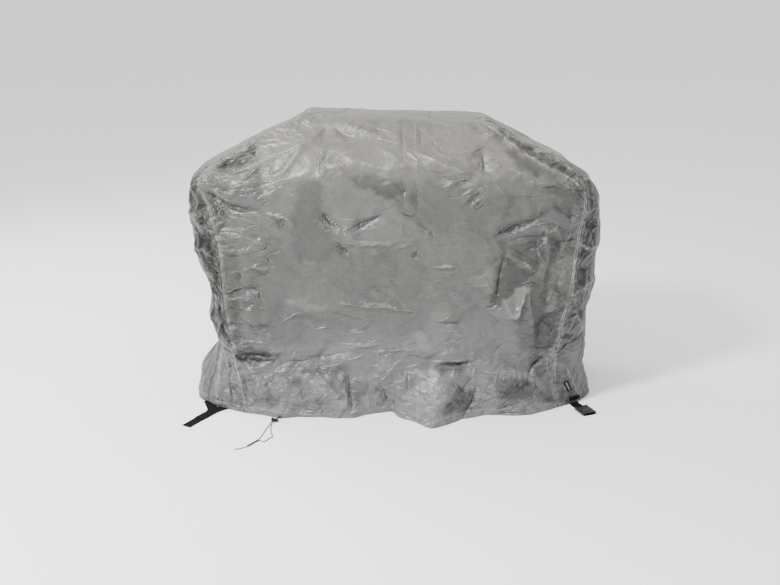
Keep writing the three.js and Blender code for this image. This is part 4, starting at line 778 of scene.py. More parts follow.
def near_line(fold, across, up, reach):
    """The places near a fold's line: which they are, how far to its side, and how far along."""
    line = curve_points(fold)
    low, high = line.min(0) - reach, line.max(0) + reach
    near = (across > low[0]) & (across < high[0]) & (up > low[1]) & (up < high[1])
    place = np.stack([across[near], up[near]], axis=1)
    aside = np.full(len(place), np.inf)
    share = np.zeros(len(place))
    for i, (a, b) in enumerate(zip(line, line[1:])):
        run = b - a
        t = np.clip((place - a) @ run / (run @ run), 0, 1)
        gap = place - a - t[:, None] * run
        away = np.linalg.norm(gap, axis=1)
        side = np.sign(run[0] * gap[:, 1] - run[1] * gap[:, 0])
        nearer = away < np.abs(aside)
        aside = np.where(nearer, away * np.where(side == 0, 1, side), aside)
        share = np.where(nearer, (i + t) / (len(line) - 1), share)
    return near, aside, share


def tapered(fold, share):
    """A fold's uneven height along its line: gone just past its ends."""
    swell = np.interp(share, np.linspace(0, 1, SWELLS), chance_of(fold).uniform(*SWELL_RANGE, SWELLS))
    return swell * np.sin(math.pi * np.clip(share, FOLD_END, 1 - FOLD_END)) ** FOLD_TAPER


def fold_depths(folds, across, up):
    """How far folds push the cloth out at places of its panel."""
    depth = np.zeros(across.shape)
    for fold in folds:
        half, out = fold[6:8]
        reach = FOLD_REACH * half
        near, aside, share = near_line(fold, across, up, reach)
        crest = 1 / (1 + (aside / (FOLD_CREST * half)) ** 2)
        fade = np.clip(1 - (aside / reach) ** 2, 0, 1)
        depth[near] += out * tapered(fold, share) * crest * fade
    return depth


LINE_REACH = 2.0  # how far to its sides a crease's sharp line is known, in half widths
LINE_HALF = 0.010  # the widest half width of a sharp line


def sharp_lines(creases, across, up):
    """The sharp lines of creases, for the material's bumps, its painted highlights on ridges and its
    painted shade in grooves: how far a place lies to the side of the nearest ridge, in half widths, and
    that ridge's height there, and the same for grooves."""
    lines = []
    for sign in (1, -1):
        off = np.full(across.shape, LINE_REACH)
        out = np.zeros(across.shape)
        for crease in creases:
            if crease[7] * sign < 0:
                continue
            half = min(crease[6], LINE_HALF)
            near, aside, share = near_line(crease, across, up, LINE_REACH * half)
            aside = aside / half
            taper = np.sin(math.pi * np.clip(share, 0, 1)) ** 0.5
            nearer = np.abs(aside) < np.abs(off[near])
            off[near] = np.where(nearer, aside, off[near])
            out[near] = np.where(nearer, abs(crease[7]) * taper, out[near])
        lines += [off, out]
    return lines


FACET_CORNERS = 64  # rows and columns of random heights, after which they repeat


def facets(across, up, size, turn, stretch, seed):
    """Flat three-cornered facets of random heights, from -1 to 1, that meet in creases."""
    chance = np.random.default_rng(seed)
    heights = chance.uniform(-1, 1, (FACET_CORNERS, FACET_CORNERS))
    phase = chance.uniform(0, 2 * math.pi, 6)
    x = (across * math.cos(turn) + up * math.sin(turn)) / (size * stretch)
    y = (up * math.cos(turn) - across * math.sin(turn)) * stretch / size
    warp_x = 0.55 * np.sin(0.9 * y + phase[0]) + 0.30 * np.sin(2.3 * y + 1.1 * x + phase[1])
    warp_y = 0.55 * np.sin(0.8 * x + phase[2]) + 0.30 * np.sin(2.1 * x - 1.3 * y + phase[3])
    x, y = x + warp_x, y + warp_y
    skew = (math.sqrt(3) - 1) / 2 * (x + y)
    i = np.floor(x + skew).astype(int)
    j = np.floor(y + skew).astype(int)
    s = x + skew - i
    t = y + skew - j
    near, right, upper, far = [
        heights[(i + a) % FACET_CORNERS, (j + b) % FACET_CORNERS]
        for a, b in ((0, 0), (1, 0), (0, 1), (1, 1))
    ]
    below = near * (1 - s) + right * (s - t) + far * t
    above = near * (1 - t) + upper * (t - s) + far * s
    return np.where(s > t, below, above)


# Crumple of the whole cloth, a row for each size of facet: size, height, turn and stretch
CRUMPLE = [
    (0.15, 0.0042, 0.4, 1.15), (0.082, 0.003, 1.3, 1.25), (0.044, 0.0016, 2.2, 1.2),
    (0.024, 0.0008, 0.9, 1.3),
]


def crumple(across, up, seed, share):
    """The crumple's height at places of a panel, each size weighted by its share there."""
    return sum(
        height * share[min(n, len(share) - 1)] * facets(across, up, size, turn, stretch, seed + n)
        for n, (size, height, turn, stretch) in enumerate(CRUMPLE)
    )


LEAN_SPREAD = 0.45  # how much the directions of strewn creases differ
BOW_SPREAD = 0.18  # and how much they bend, as a share of half their length


def scattered_creases(seed, count, box, length, half, out, lean):
    """Short creases strewn over a box of a panel, most of them lying near one direction."""
    chance = np.random.default_rng(seed)
    rows = []
    for _ in range(count):
        x = chance.uniform(box[0], box[2])
        z = chance.uniform(box[1], box[3])
        run = chance.uniform(*length) / 2
        turn = lean + chance.normal(0, LEAN_SPREAD)
        bow = chance.normal(0, BOW_SPREAD) * run
        dx, dz = run * math.cos(turn), run * math.sin(turn)
        middle = (x - bow * math.sin(turn), z + bow * math.cos(turn))
        height = chance.uniform(*out) * chance.choice((-1, 1))
        rows.append((x - dx, z - dz, *middle, x + dx, z + dz, chance.uniform(*half), height))
    return rows


def scatter(seed, rows):
    """The creases of all rows of a scatter table."""
    return [crease for n, row in enumerate(rows) for crease in scattered_creases(seed + n, *row)]


# Fine grid of the cloth
WALL_STEP = 0.0075
HEM_STEP = 0.0036
HEM_BAND = 0.028
TOP_STEP = 0.011
BACK_STEP = 0.0135
HOOD_LENGTH = 0.300
TOP_DEPTH = 0.290
FACE_COLUMNS = 172
END_COLUMN_COUNT = 92
SEAM_CROWDING = 0.40  # how much closer together the columns lie at a seam
SEAM_HOLD = 0.45
SEAM_REACH = 0.045
SEAM_RIDGE = 0.0014
SEAM_RIDGE_WIDTH = 0.007
RIDGE_START = 0.003
SAG = 0.30  # how far a fold that stands out also hangs down, as a share of its height
WAVE_HEIGHT = 0.0036
WAVE_CALM = (0.020, 0.120)
SAG_COMES = (0.020, 0.120)
LEVEL_BELOW = 0.050  # height under which the cloth is pushed out level
HEM_RISE = 0.0009
HEM_EDGE = (HEM_BAND - 0.003, HEM_BAND + 0.002)
STITCH_INSET = 0.004
STITCH_DEPTH = 0.0012
STITCH_WIDTH = 0.0025
PUCKER_HEIGHT = 0.0009
PUCKER_LENGTH = 0.009
PUCKER_START = 0.004
EDGE_ROUNDS = 10  # how often the top's edges are smoothed


def row_places(step):
    """Row numbers from the hem to the hood's top edge, a step of cloth apart."""
    band = np.arange(0, HEM_BAND + HEM_STEP, HEM_STEP)
    wall = np.linspace(band[-1], SHOULDER_Z, round((SHOULDER_Z - band[-1]) / step) + 1)[1:]
    hood = np.linspace(0, HOOD_ROWS, round(HOOD_LENGTH / step) + 1)[1:]
    walls = np.concatenate([band, wall]) * WALL_ROWS / SHOULDER_Z
    return np.concatenate([walls, WALL_ROWS + hood])


def column_places(count):
    """Shares of a panel's width, closer together at its two seams."""
    s = np.linspace(0, 1, count + 1)
    return s - SEAM_CROWDING * np.sin(2 * math.pi * s) / (2 * math.pi)


def waves(points):
    """Long, low waves of the whole cloth."""
    x, y, z = np.moveaxis(points, -1, 0)
    first = np.sin(x / 0.061 + z / 0.097 + 0.7) * np.cos(z / 0.053 - y / 0.071)
    second = np.sin(z / 0.037 - x / 0.083 + 2.1) * np.sin(y / 0.047 + x / 0.059 + 1.3)
    calm = ease(np.hypot(x, y), *WAVE_CALM)
    return WAVE_HEIGHT * (first + 0.7 * second) * calm


def grid_normals(points, outwards=1):
    """Directions out of the cloth at a grid's points, level at the hem."""
    across = np.gradient(points, axis=1)
    up = np.gradient(points, axis=0)
    normals = unit(np.cross(across, up)) * outwards
    normals[..., 2] *= ease(points[..., 2], 0, LEVEL_BELOW)
    return unit(normals)


def arc(points, axis):
    """Distance along a grid's rows or columns from their first point."""
    steps = np.linalg.norm(np.diff(points, axis=axis), axis=-1)
    start = np.zeros_like(np.take(steps, [0], axis=axis))
    return np.concatenate([start, np.cumsum(steps, axis=axis)], axis=axis)


def hem_band(distance):
    """The turned-up hem: a slightly raised band with a sunk line of stitches along its edge."""
    band = HEM_RISE * (1 - ease(distance, *HEM_EDGE))
    stitches = STITCH_DEPTH * np.exp(-(((distance - HEM_BAND + STITCH_INSET) / STITCH_WIDTH) ** 2))
    return band - stitches


def lower(points, push, normals):
    """Moves points out along their normals; what stands out also hangs down a little."""
    moved = points + normals * push[..., None]
    moved[..., 2] -= SAG * np.maximum(push, 0) * ease(points[..., 2], *SAG_COMES)
    return moved


front_rows = row_places(WALL_STEP)
back_rows = row_places(BACK_STEP)[::-1]
top_shares = np.linspace(-1, 1, round(TOP_DEPTH / TOP_STEP) + 1)[1:-1]
top_rows = np.sin(math.pi / 2 * top_shares)
columns = column_places(FACE_COLUMNS)


def drape_main():
    """The long panel's base grid: the front's rows, the top's and the back's."""
    k, u = np.meshgrid(front_rows, columns, indexing="ij")
    front = face_points(k, u, "front")
    v, u = np.meshgrid(top_rows, columns, indexing="ij")
    left = end_points(LEFT_END, np.full_like(v, TOP_LEFT_Z), v)
    right = end_points(RIGHT_END, np.full_like(v, TOP_RIGHT_Z), v)
    top = left + (right - left) * u[..., None]
    k, u = np.meshgrid(back_rows, columns, indexing="ij")
    return front, top, face_points(k, u, "back")


# Where short creases are strewn on the front, a row each: their number, the box of the panel
# that they lie in, the ranges of their lengths, half widths and heights, and their direction
FRONT_SCATTER = [
    (34, (-0.40, 0.30, 0.34, 0.84), (0.03, 0.11), (0.007, 0.012), (0.0008, 0.0022), 0.1),
    (34, (-0.62, 0.26, -0.44, 0.84), (0.03, 0.12), (0.006, 0.010), (0.0014, 0.0036), 0.15),
    (40, (0.34, 0.26, 0.62, 0.84), (0.03, 0.12), (0.006, 0.011), (0.0016, 0.0042), -0.35),
    (18, (0.46, 0.26, 0.60, 0.80), (0.05, 0.14), (0.006, 0.010), (0.0016, 0.0036), 1.3),
    (52, (-0.56, 0.02, 0.58, 0.25), (0.03, 0.12), (0.006, 0.011), (0.0014, 0.0040), 1.2),
    (44, (-0.54, 0.01, -0.18, 0.20), (0.02, 0.09), (0.005, 0.008), (0.0012, 0.0034), 0.6),
    (36, (0.10, 0.02, 0.60, 0.24), (0.03, 0.10), (0.005, 0.009), (0.0014, 0.0040), -0.5),
    (34, (-0.48, 0.86, 0.46, 1.04), (0.04, 0.13), (0.007, 0.012), (0.0008, 0.0018), -0.35),
    (16, (-0.62, 0.80, -0.40, 0.96), (0.03, 0.10), (0.006, 0.009), (0.0012, 0.0030), -0.5),
]
BACK_SCATTER = [
    (60, (-0.60, 0.26, 0.60, 1.00), (0.06, 0.18), (0.011, 0.018), (0.0015, 0.0040), 0.2),
    (40, (-0.60, 0.02, 0.60, 0.26), (0.05, 0.14), (0.010, 0.016), (0.0015, 0.0045), 1.3),
]
END_SCATTER = [
    (26, (0.00, 0.25, 0.14, 0.88), (0.06, 0.15), (0.007, 0.011), (0.0030, 0.0065), 0.70),
    (26, (0.00, 0.25, 0.14, 0.88), (0.06, 0.15), (0.007, 0.011), (0.0030, 0.0065), -0.70),
    (30, (0.00, 0.02, 0.45, 0.24), (0.05, 0.15), (0.006, 0.010), (0.0012, 0.0034), 1.4),
    (70, (0.14, 0.10, 0.62, 1.00), (0.05, 0.14), (0.008, 0.013), (0.0014, 0.0040), 0.3),
    (40, (0.40, 0.02, 0.62, 0.86), (0.03, 0.12), (0.007, 0.011), (0.0016, 0.0044), 0.6),
]
CREASE_SHARE = 1.35
FOLD_SHARE = 0.8
MARK_SHARE = 0.7
EDGE_CALMS = (0.02, 0.16)  # distances from a seam over which the front grows calmer
LOW_CALMS = (0.14, 0.26)
HOOD_COMES = (0.84, 0.92)
TOP_CRUMPLE = [0.5, 0.6, 0.7, 0.6]  # shares of the crumple's four sizes
BACK_CRUMPLE = [1.3, 1, 0.8, 0.3]
END_CRUMPLE = [0.3, 0.6, 1.0, 1.2]


def push_front(points, to_seam, up):
    x, z = points[..., 0], points[..., 2]
    edge = 1 - ease(to_seam, *EDGE_CALMS)
    low = 1 - ease(z, *LOW_CALMS)
    hood = ease(z, *HOOD_COMES)
    busy = np.clip(0.42 + 0.60 * edge + 0.25 * low, 0, 1.1)
    push = FOLD_SHARE * fold_depths(FRONT_FOLDS, x, z) + CREASE_SHARE * fold_depths(FRONT_CREASES, x, z)
    strewn = scatter(11, FRONT_SCATTER)
    push += fold_depths(strewn, x, z) + MARK_SHARE * fold_depths(FRONT_MARKS, x, z)
    push += crumple(x, up, 21, [2.0 - 1.4 * hood, 0.5 + busy - 0.5 * hood, busy - 0.15 * hood, busy])
    return push, sharp_lines(FRONT_CREASES + FRONT_MARKS + strewn, x, z)


def push_back(points, up):
    x, z = points[..., 0], points[..., 2]
    push = fold_depths(BACK_FOLDS, x, z)
    strewn = scatter(14, BACK_SCATTER)
    push += fold_depths(strewn, x, z)
    return push + crumple(x, up, 31, BACK_CRUMPLE), sharp_lines(strewn, x, z)


def push_top(points, up):
    x, y = points[..., 0], points[..., 1]
    calm = ease(np.hypot(x, y), *WAVE_CALM)
    push = fold_depths(TOP_FOLDS, x, y) + crumple(x, up, 41, TOP_CRUMPLE)
    return push * calm, sharp_lines(TOP_FOLDS, x, y)


def seam_hold(distance):
    return SEAM_HOLD + (1 - SEAM_HOLD) * ease(distance, 0, SEAM_REACH)


def seam_ridge(distance):
    """The seam's allowance stands up under the cloth beside it."""
    return SEAM_RIDGE * np.exp(-((distance / SEAM_RIDGE_WIDTH) ** 2))


def seam_puckers(distance, up, seed):
    """Short gathers that run away from a seam, uneven in length and height."""
    chance = np.random.default_rng(seed)
    phase = chance.uniform(0, 2 * math.pi, 3)
    ripple = np.sin(up / 0.0067 + 2.9 * np.sin(up / 0.061 + phase[0]) + 1.3 * np.sin(up / 0.023 + phase[1]))
    swell = 0.5 + 0.5 * np.sin(up / 0.067 + phase[1]) * np.sin(up / 0.139 + phase[2])
    fade = np.exp(-distance / PUCKER_LENGTH) * ease(distance, 0, PUCKER_START)
    return PUCKER_HEIGHT * ripple * swell * fade


front_base, top_base, back_base = drape_main()
main_base = np.concatenate([front_base, top_base, back_base])
rises = len(front_rows)
falls = rises + len(top_rows)
TOP_EDGE_ROWS = 5  # rows to each side over which the cloth rolls over the top's edges
for _ in range(EDGE_ROUNDS):
    for edge in (rises, falls):
        rolled = slice(edge - TOP_EDGE_ROWS, edge + TOP_EDGE_ROWS)
        before = main_base[edge - TOP_EDGE_ROWS - 1:edge + TOP_EDGE_ROWS - 1]
        after = main_base[edge - TOP_EDGE_ROWS + 1:edge + TOP_EDGE_ROWS + 1]
        main_base[rolled] = 0.5 * main_base[rolled] + 0.25 * (before + after)
front_base, top_base, back_base = np.split(main_base, [rises, falls])
main_across = arc(main_base, 1)
main_up = arc(main_base, 0)
main_to_seam = np.minimum(main_across, main_across[:, -1:] - main_across)
stretches = [
    push_front(front_base, main_to_seam[:rises], main_up[:rises]),
    push_top(top_base, main_up[rises:falls]),
    push_back(back_base, main_up[falls:]),
]
main_push = np.concatenate([push for push, _ in stretches])
main_lines = [np.concatenate(parts) for parts in zip(*[lines for _, lines in stretches])]
main_normals = grid_normals(main_base)
main_from_hem = np.minimum(main_up, main_up[-1:] - main_up)
main_push = main_push * seam_hold(main_to_seam) + waves(main_base)
main_push += seam_ridge(main_to_seam) + seam_puckers(main_to_seam, main_up, 51)
main_push += hem_band(main_from_hem)
main_points = lower(main_base, main_push, main_normals)
for hem_row in (0, -1):
    main_points[hem_row, :, 2] = hem_heights(main_points[hem_row])
main_points[..., 2] = np.maximum(main_points[..., 2], CLOTH / 2)


def end_columns():
    s = np.linspace(-1, 1, END_COLUMN_COUNT + 1)
    return 0.5 * s + 0.5 * np.sin(math.pi / 2 * s)


def between(at, keys, points):
    """Points at places between those of a run of points."""
    return np.stack([np.interp(at, keys, points[:, i]) for i in range(3)], axis=1)


def drape_end(end, column, folds, side, seed):
    """An end panel's points, sewn to the long panel along its edge in the given column."""
    left_z, right_z = row_heights(front_rows)
    z = left_z if side < 0 else right_z
    v = end_columns()
    base = end_points(end, *np.meshgrid(z, v, indexing="ij"))
    normals = grid_normals(base, side)
    round_front = arc(base, 1)
    round_back = round_front[:, -1:] - round_front
    to_seam = np.minimum(round_front, round_back)
    up = arc(base, 0)
    push = fold_depths(folds, round_front, base[..., 2])
    strewn = scatter(seed, END_SCATTER)
    push += fold_depths(strewn, round_front, base[..., 2])
    push += crumple(round_front, up, seed + 10, END_CRUMPLE)
    push = push * seam_hold(to_seam) + waves(base) + hem_band(up)
    own = lower(base, push, normals) - base
    edge = main_points[:, column]
    ends_at = np.concatenate([[-1], top_rows, [1]])
    top = between(v, ends_at, edge[rises - 1:falls + 1]) - base[-1]
    front = edge[:rises] - base[:, 0]
    back = between(front_rows, back_rows[::-1], edge[falls:][::-1]) - base[:, -1]
    from_top = up[-1:] - up
    for seam_shift, distance in ((front[:, None], round_front), (back[:, None], round_back)):
        share = (1 - ease(distance, 0, SEAM_REACH))[..., None]
        own = own * (1 - share) + seam_shift * share
    own += normals * (seam_ridge(to_seam) * ease(to_seam, 0, RIDGE_START))[..., None]
    own += (top - own[-1])[None] * (1 - ease(from_top, 0, SEAM_REACH))[..., None]
    points = base + own
    inside = slice(1, -1)
    points[0, inside, 2] = hem_heights(points[0, inside])
    points[..., 2] = np.maximum(points[..., 2], CLOTH / 2)
    return points, to_seam, up, sharp_lines(strewn + folds, round_front, base[..., 2])


left_points, left_to_seam, left_up, left_lines = drape_end(LEFT_END, 0, LEFT_FOLDS, -1, 60)
right_points, right_to_seam, right_up, right_lines = drape_end(RIGHT_END, -1, RIGHT_FOLDS, 1, 80)


LINE_NAMES = ["ridge_off", "ridge_out", "groove_off", "groove_out"]
# Light and shade painted on the front by its patches; the top and back get none
main_painted_light = np.zeros(main_base.shape[:2])
main_painted_light[:rises] = painted_patch_light(FRONT_PAINTED_LIGHT, front_base[..., 0], front_base[..., 2])
PAINTED_LIGHT_FADE = (0.10, 0.24)  # distances from the front seam over which the ends' painted light and shade fade out


def painted_end_light(painted_light, points):
    """Painted light and shade of an end panel beside its front seam: how much lighter or darker its colour
    is.
    """
    near = 1 - ease(arc(points, 1), *PAINTED_LIGHT_FADE)
    return near * np.interp(points[..., 2], painted_light["z"], painted_light["tone"])


left_painted_light = painted_end_light(LEFT_PAINTED_LIGHT, left_points)
right_painted_light = painted_end_light(RIGHT_PAINTED_LIGHT, right_points)


def cloth_panel(name, points, to_seam, from_hem, along_hem, painted_light, lines, flip):
    """A panel's mesh from its grid, with the cloth's own coordinates, its distances from its
    edges, its creases' lines, and the light and shade painted on its colour."""
    rows, cols = points.shape[:2]
    number = np.arange(rows * cols).reshape(rows, cols)
    quads = grid_quads(number)
    if flip:
        quads = quads[:, ::-1]
    place = points.reshape(-1, 3) + (0, 0, FLOOR)
    panel = new_piece(name, place, quads.tolist())
    set_cut(panel, np.stack([along_hem.ravel(), from_hem.ravel()], axis=1))
    names = ["to_seam", "to_hem", "tone", *LINE_NAMES]
    for label, values in zip(names, [to_seam, from_hem, painted_light, *lines]):
        attribute = panel.data.attributes.new(label, "FLOAT", "POINT")
        attribute.data.foreach_set("value", values.ravel())
    return panel


main_panel = cloth_panel(
    "cloth_front_top_back", main_points, main_to_seam, main_from_hem, main_across, main_painted_light, main_lines,
    False,
)
left_panel = cloth_panel(
    "cloth_left_end", left_points, left_to_seam, left_up, arc(left_points, 1), left_painted_light, left_lines,
    True,
)
right_panel = cloth_panel(
    "cloth_right_end", right_points, right_to_seam, right_up, arc(right_points, 1), right_painted_light,
    right_lines, False,
)
PANELS = [main_panel, left_panel, right_panel]


# Webbing and other flat pieces
WEBBING = 0.038
WEBBING_THICKNESS = 0.0016
LEFT_LONG = [
    (-0.7, -0.19, 0.0012), (-0.684, -0.232, 0.0012), (-0.672, -0.274, 0.0012), (-0.686, -0.318, 0.0012),
    (-0.712, -0.36, 0.0012), (-0.741, -0.41, 0.0012),
]
LEFT_SHORT = [
    (-0.6, -0.232, 0.0012), (-0.63, -0.252, 0.0022), (-0.66, -0.28, 0.0036), (-0.682, -0.312, 0.0038),
    (-0.706, -0.35, 0.0038),
]
BUCKLE_PLACE = Vector((0.695, -0.288, FLOOR))
BUCKLE_TURN = -1.2
STRAP_START = [(0.655, -0.140, 0.0012), (0.661, -0.178, 0.0012)]
STRAP_LOOP = [
    (-0.066, 0.0012), (-0.046, 0.0012), (-0.034, 0.0012), (-0.027, 0.0018), (-0.0242, 0.0056),
    (-0.026, 0.0096), (-0.03, 0.0104), (-0.035, 0.0082), (-0.04, 0.0042), (-0.046, 0.0034),
    (-0.06, 0.0034),
]
RIBS_ACROSS = 12
STRAP_STEP = 0.003
LOOP_STEP = 0.0015


def ribbon(name, line, across, width, thickness):
    """A strip of webbing along a line, with rounded edges; across gives its width's direction."""
    run = unit(np.gradient(line, axis=0))
    up = unit(np.cross(across, run))
    up *= np.where(up[:, 2:] < 0, -1, 1)
    half = (width - thickness) / 2
    flat = np.linspace(-half, half, RIBS_ACROSS)
    bend = np.radians(np.linspace(90, -90, 7)[1:-1])
    top = [(a, thickness / 2) for a in flat]
    right = [(half + thickness / 2 * math.cos(t), thickness / 2 * math.sin(t)) for t in bend]
    under = [(a, -thickness / 2) for a in flat[::-1]]
    left = [(-a, -b) for a, b in right]
    section = np.array(top + right + under + left)
    count = len(section)
    place = line[:, None] + across[:, None] * section[None, :, :1] + up[:, None] * section[None, :, 1:]
    strip = new_piece(name, place.reshape(-1, 3), tube_faces(len(line), count))
    reach = arc(line, 0)
    set_cut(strip, np.stack([np.tile(section[:, 0], len(line)), np.repeat(reach, count)], axis=1))
    facing_out(strip)
    smooth(strip, 60)
    return strip, float(reach[-1])


def level_across(line):
    run = np.gradient(line, axis=0)
    return unit(np.stack([-run[:, 1], run[:, 0], np.zeros(len(line))], axis=1))


def laid(name, rows):
    line = catmull_rom(rows, STRAP_STEP) + (0, 0, FLOOR)
    return ribbon(name, line, level_across(line), WEBBING, WEBBING_THICKNESS)


left_long, left_long_length = laid("webbing_left_long", LEFT_LONG)
left_short, left_short_length = laid("webbing_left_short", LEFT_SHORT)

buckle_frame = Matrix.Translation(BUCKLE_PLACE) @ Matrix.Rotation(BUCKLE_TURN, 4, "Z")
right_rows = [(x, y, z + FLOOR) for x, y, z in STRAP_START]
right_rows += [tuple(buckle_frame @ Vector((x, 0, z))) for x, z in STRAP_LOOP]
right_line = catmull_rom(right_rows, LOOP_STEP)
sideways = np.array(buckle_frame.to_3x3() @ Vector((0, 1, 0)))
right_across = np.broadcast_to(sideways, right_line.shape)
right_strap, right_strap_length = ribbon(
    "webbing_right", right_line, right_across, WEBBING, WEBBING_THICKNESS
)


PLATE_ROWS = 60  # the part of the end panel's grid that its sewn pieces lie on
PLATE_COLUMNS = 44
PLATE_BLUR = 0.0035  # how far around each place the cloth under a sewn piece is averaged


def plate(name, middle_round, middle_z, size, lean, thickness, off, cells):
    """A flat piece sewn to the right end panel, on the cloth's own surface."""
    part = right_points[:PLATE_ROWS, :PLATE_COLUMNS]
    round_it = np.linalg.norm(part - part[:, :1], axis=-1)
    base = SHOULDER_Z * front_rows[:PLATE_ROWS, None] / WALL_ROWS
    directions = grid_normals(part)
    shares = [np.arange(count + 1) / count - 0.5 for count in cells]
    cut = [(a * size[0], b * size[1]) for b in shares[1] for a in shares[0]]
    place, out = [], []
    for a, b in cut:
        r = middle_round + a * math.cos(lean) - b * math.sin(lean)
        z = middle_z + a * math.sin(lean) + b * math.cos(lean)
        weight = np.exp(-((round_it - r) ** 2 + (base - z) ** 2) / (2 * PLATE_BLUR**2))
        weight = (weight / weight.sum())[..., None]
        place.append((part * weight).sum((0, 1)))
        out.append((directions * weight).sum((0, 1)))
    inner = np.array(place) + unit(np.array(out)) * off + (0, 0, FLOOR)
    outer = inner + unit(np.array(out)) * thickness
    number = np.arange(len(cut)).reshape(cells[1] + 1, cells[0] + 1)
    quads = grid_quads(number)
    ring = np.concatenate([number[0, :-1], number[:-1, -1], number[-1, :0:-1], number[:0:-1, 0]])
    after = np.roll(ring, -1)
    rim = np.stack([ring, after, after + len(cut), ring + len(cut)], axis=-1)
    faces = quads.tolist() + (quads[:, ::-1] + len(cut)).tolist() + rim.tolist()
    made = new_piece(name, np.concatenate([outer, inner]), faces)
    set_cut(made, cut + cut)
    facing_out(made)
    rounded(made, thickness * 0.3, 2, math.degrees(1.0))
    smooth(made)
    return made


LABEL_SIZE = (0.022, 0.046)
TAB_SIZE = (0.054, 0.015)
label = plate("label_blank", 0.062, 0.078, LABEL_SIZE, 0.21, 0.0008, 0.0011, (10, 20))
tab = plate("hem_tab", 0.084, 0.020, TAB_SIZE, 0.0, 0.0018, 0.0012, (26, 8))


# Moulded pieces
def block(name, size, middle):
    """A box of a size around a place, in its own frame."""
    bpy.ops.object.select_all(action="DESELECT")
    bpy.ops.mesh.primitive_cube_add(size=1, location=(0, 0, 0))
    made = bpy.context.object
    made.name = name
    made.data.transform(Matrix.Translation(middle) @ Matrix.Diagonal((*size, 1)))
    return made


def rod(name, radius, length, middle, sides=40):
    """A round bar along the X axis."""
    bpy.ops.object.select_all(action="DESELECT")
    bpy.ops.mesh.primitive_cylinder_add(vertices=sides, radius=radius, depth=length)
    made = bpy.context.object
    made.name = name
    made.data.transform(Matrix.Translation(middle) @ Matrix.Rotation(math.pi / 2, 4, "Y"))
    return made


def join_or_cut(piece, tool, operation):
    apply_modifier(piece, "BOOLEAN", object=tool, operation=operation, solver="EXACT")
    bpy.data.objects.remove(tool)
    return piece


def round_corners(piece, radius):
    """Rounds a box's four upright edges."""
    only(piece)
    bpy.ops.object.mode_set(mode="EDIT")
    shape = bmesh.from_edit_mesh(piece.data)
    bpy.ops.mesh.select_all(action="DESELECT")
    for edge in shape.edges:
        a, b = (vert.co for vert in edge.verts)
        edge.select = abs(a.x - b.x) + abs(a.y - b.y) < 1e-6
    shape.select_flush_mode()
    bmesh.update_edit_mesh(piece.data)
    bpy.ops.mesh.bevel(offset=radius, segments=6)
    bpy.ops.object.mode_set(mode="OBJECT")
    return piece


BUCKLE_GROOVES = [
    (0.0009, 0.030, (-0.0145, -0.0100, -0.0055)), (0.0008, 0.026, (0.0115, 0.0150, 0.0185, 0.0220)),
]


def socket_buckle():
    """The socket half of a side-release buckle, in its own frame: its mouth faces along +X."""
    body = round_corners(block("right_buckle_socket", (0.064, 0.052, 0.012), (0, 0, 0.006)), 0.006)
    rounded(body, 0.0012)
    window = round_corners(block("window", (0.006, 0.0404, 0.03), (-0.024, 0, 0.006)), 0.0014)
    join_or_cut(body, window, "DIFFERENCE")
    for side in (-1, 1):
        slot = block("slot", (0.015, 0.0036, 0.03), (0.0055, side * 0.0208, 0.006))
        join_or_cut(body, round_corners(slot, 0.0015), "DIFFERENCE")
    mouth = rounded(block("mouth", (0.026, 0.038, 0.007), (0.021, 0, 0.006)), 0.0008)
    join_or_cut(body, mouth, "DIFFERENCE")
    for low, high in ((-0.002, 0.0036), (0.0084, 0.014)):
        relief = block("relief", (0.009, 0.0404, high - low), (-0.0295, 0, (low + high) / 2))
        join_or_cut(body, relief, "DIFFERENCE")
    for radius, length, places in BUCKLE_GROOVES:
        for x in places:
            groove = rod("groove", radius, length, (0, 0, 0), 16)
            groove.data.transform(Matrix.Translation((x, 0, 0.0120)) @ Matrix.Rotation(math.pi / 2, 4, "Z"))
            join_or_cut(body, groove, "DIFFERENCE")
    rounded(body, 0.00035, 2, 40)
    body.data.transform(buckle_frame)
    smooth(body, 40)
    return body


LOCK_RADIUS = 0.0060
LOCK_PLACE = (-0.431, -0.3705, 0.0073 + FLOOR)
LOCK_RUN = (-0.0110, -0.0176)  # the way in which the cords leave the lock


def cord_lock():
    """A barrel with a sprung plunger along its local X, and a slot through which the cords pass."""
    barrel = rounded(rod("cord_lock_barrel", LOCK_RADIUS, 0.018, (-0.004, 0, 0)), 0.0012, 4)
    plunger = rounded(rod("plunger", 0.0046, 0.010, (0.008, 0, 0)), 0.0010, 4)
    join_or_cut(barrel, plunger, "UNION")
    slot = round_corners(block("slot", (0.0084, 0.03, 0.0046), (0, 0, 0)), 0.0001)
    join_or_cut(barrel, slot, "DIFFERENCE")
    for x in (-0.0108, -0.0090, -0.0072):
        bpy.ops.object.select_all(action="DESELECT")
        bpy.ops.mesh.primitive_torus_add(
            major_radius=LOCK_RADIUS, minor_radius=0.00035, major_segments=40, minor_segments=8
        )
        ring = bpy.context.object
        ring.data.transform(Matrix.Translation((x, 0, 0)) @ Matrix.Rotation(math.pi / 2, 4, "Y"))
        join_or_cut(barrel, ring, "DIFFERENCE")
    rounded(barrel, 0.0003, 2, 40)
    turn = math.atan2(LOCK_RUN[1], LOCK_RUN[0]) + math.pi / 2
    barrel.data.transform(Matrix.Translation(LOCK_PLACE) @ Matrix.Rotation(turn, 4, "Z"))
    smooth(barrel, 40)
    return barrel


buckle = socket_buckle()
lock = cord_lock()


# Thickness of the cloth
for panel in PANELS:
    apply_modifier(panel, "SOLIDIFY", thickness=CLOTH, offset=0, use_even_offset=False)
    smooth(panel, 80)


# Materials
class Tree:
    """The node tree that nodes are being added to."""

    now = None


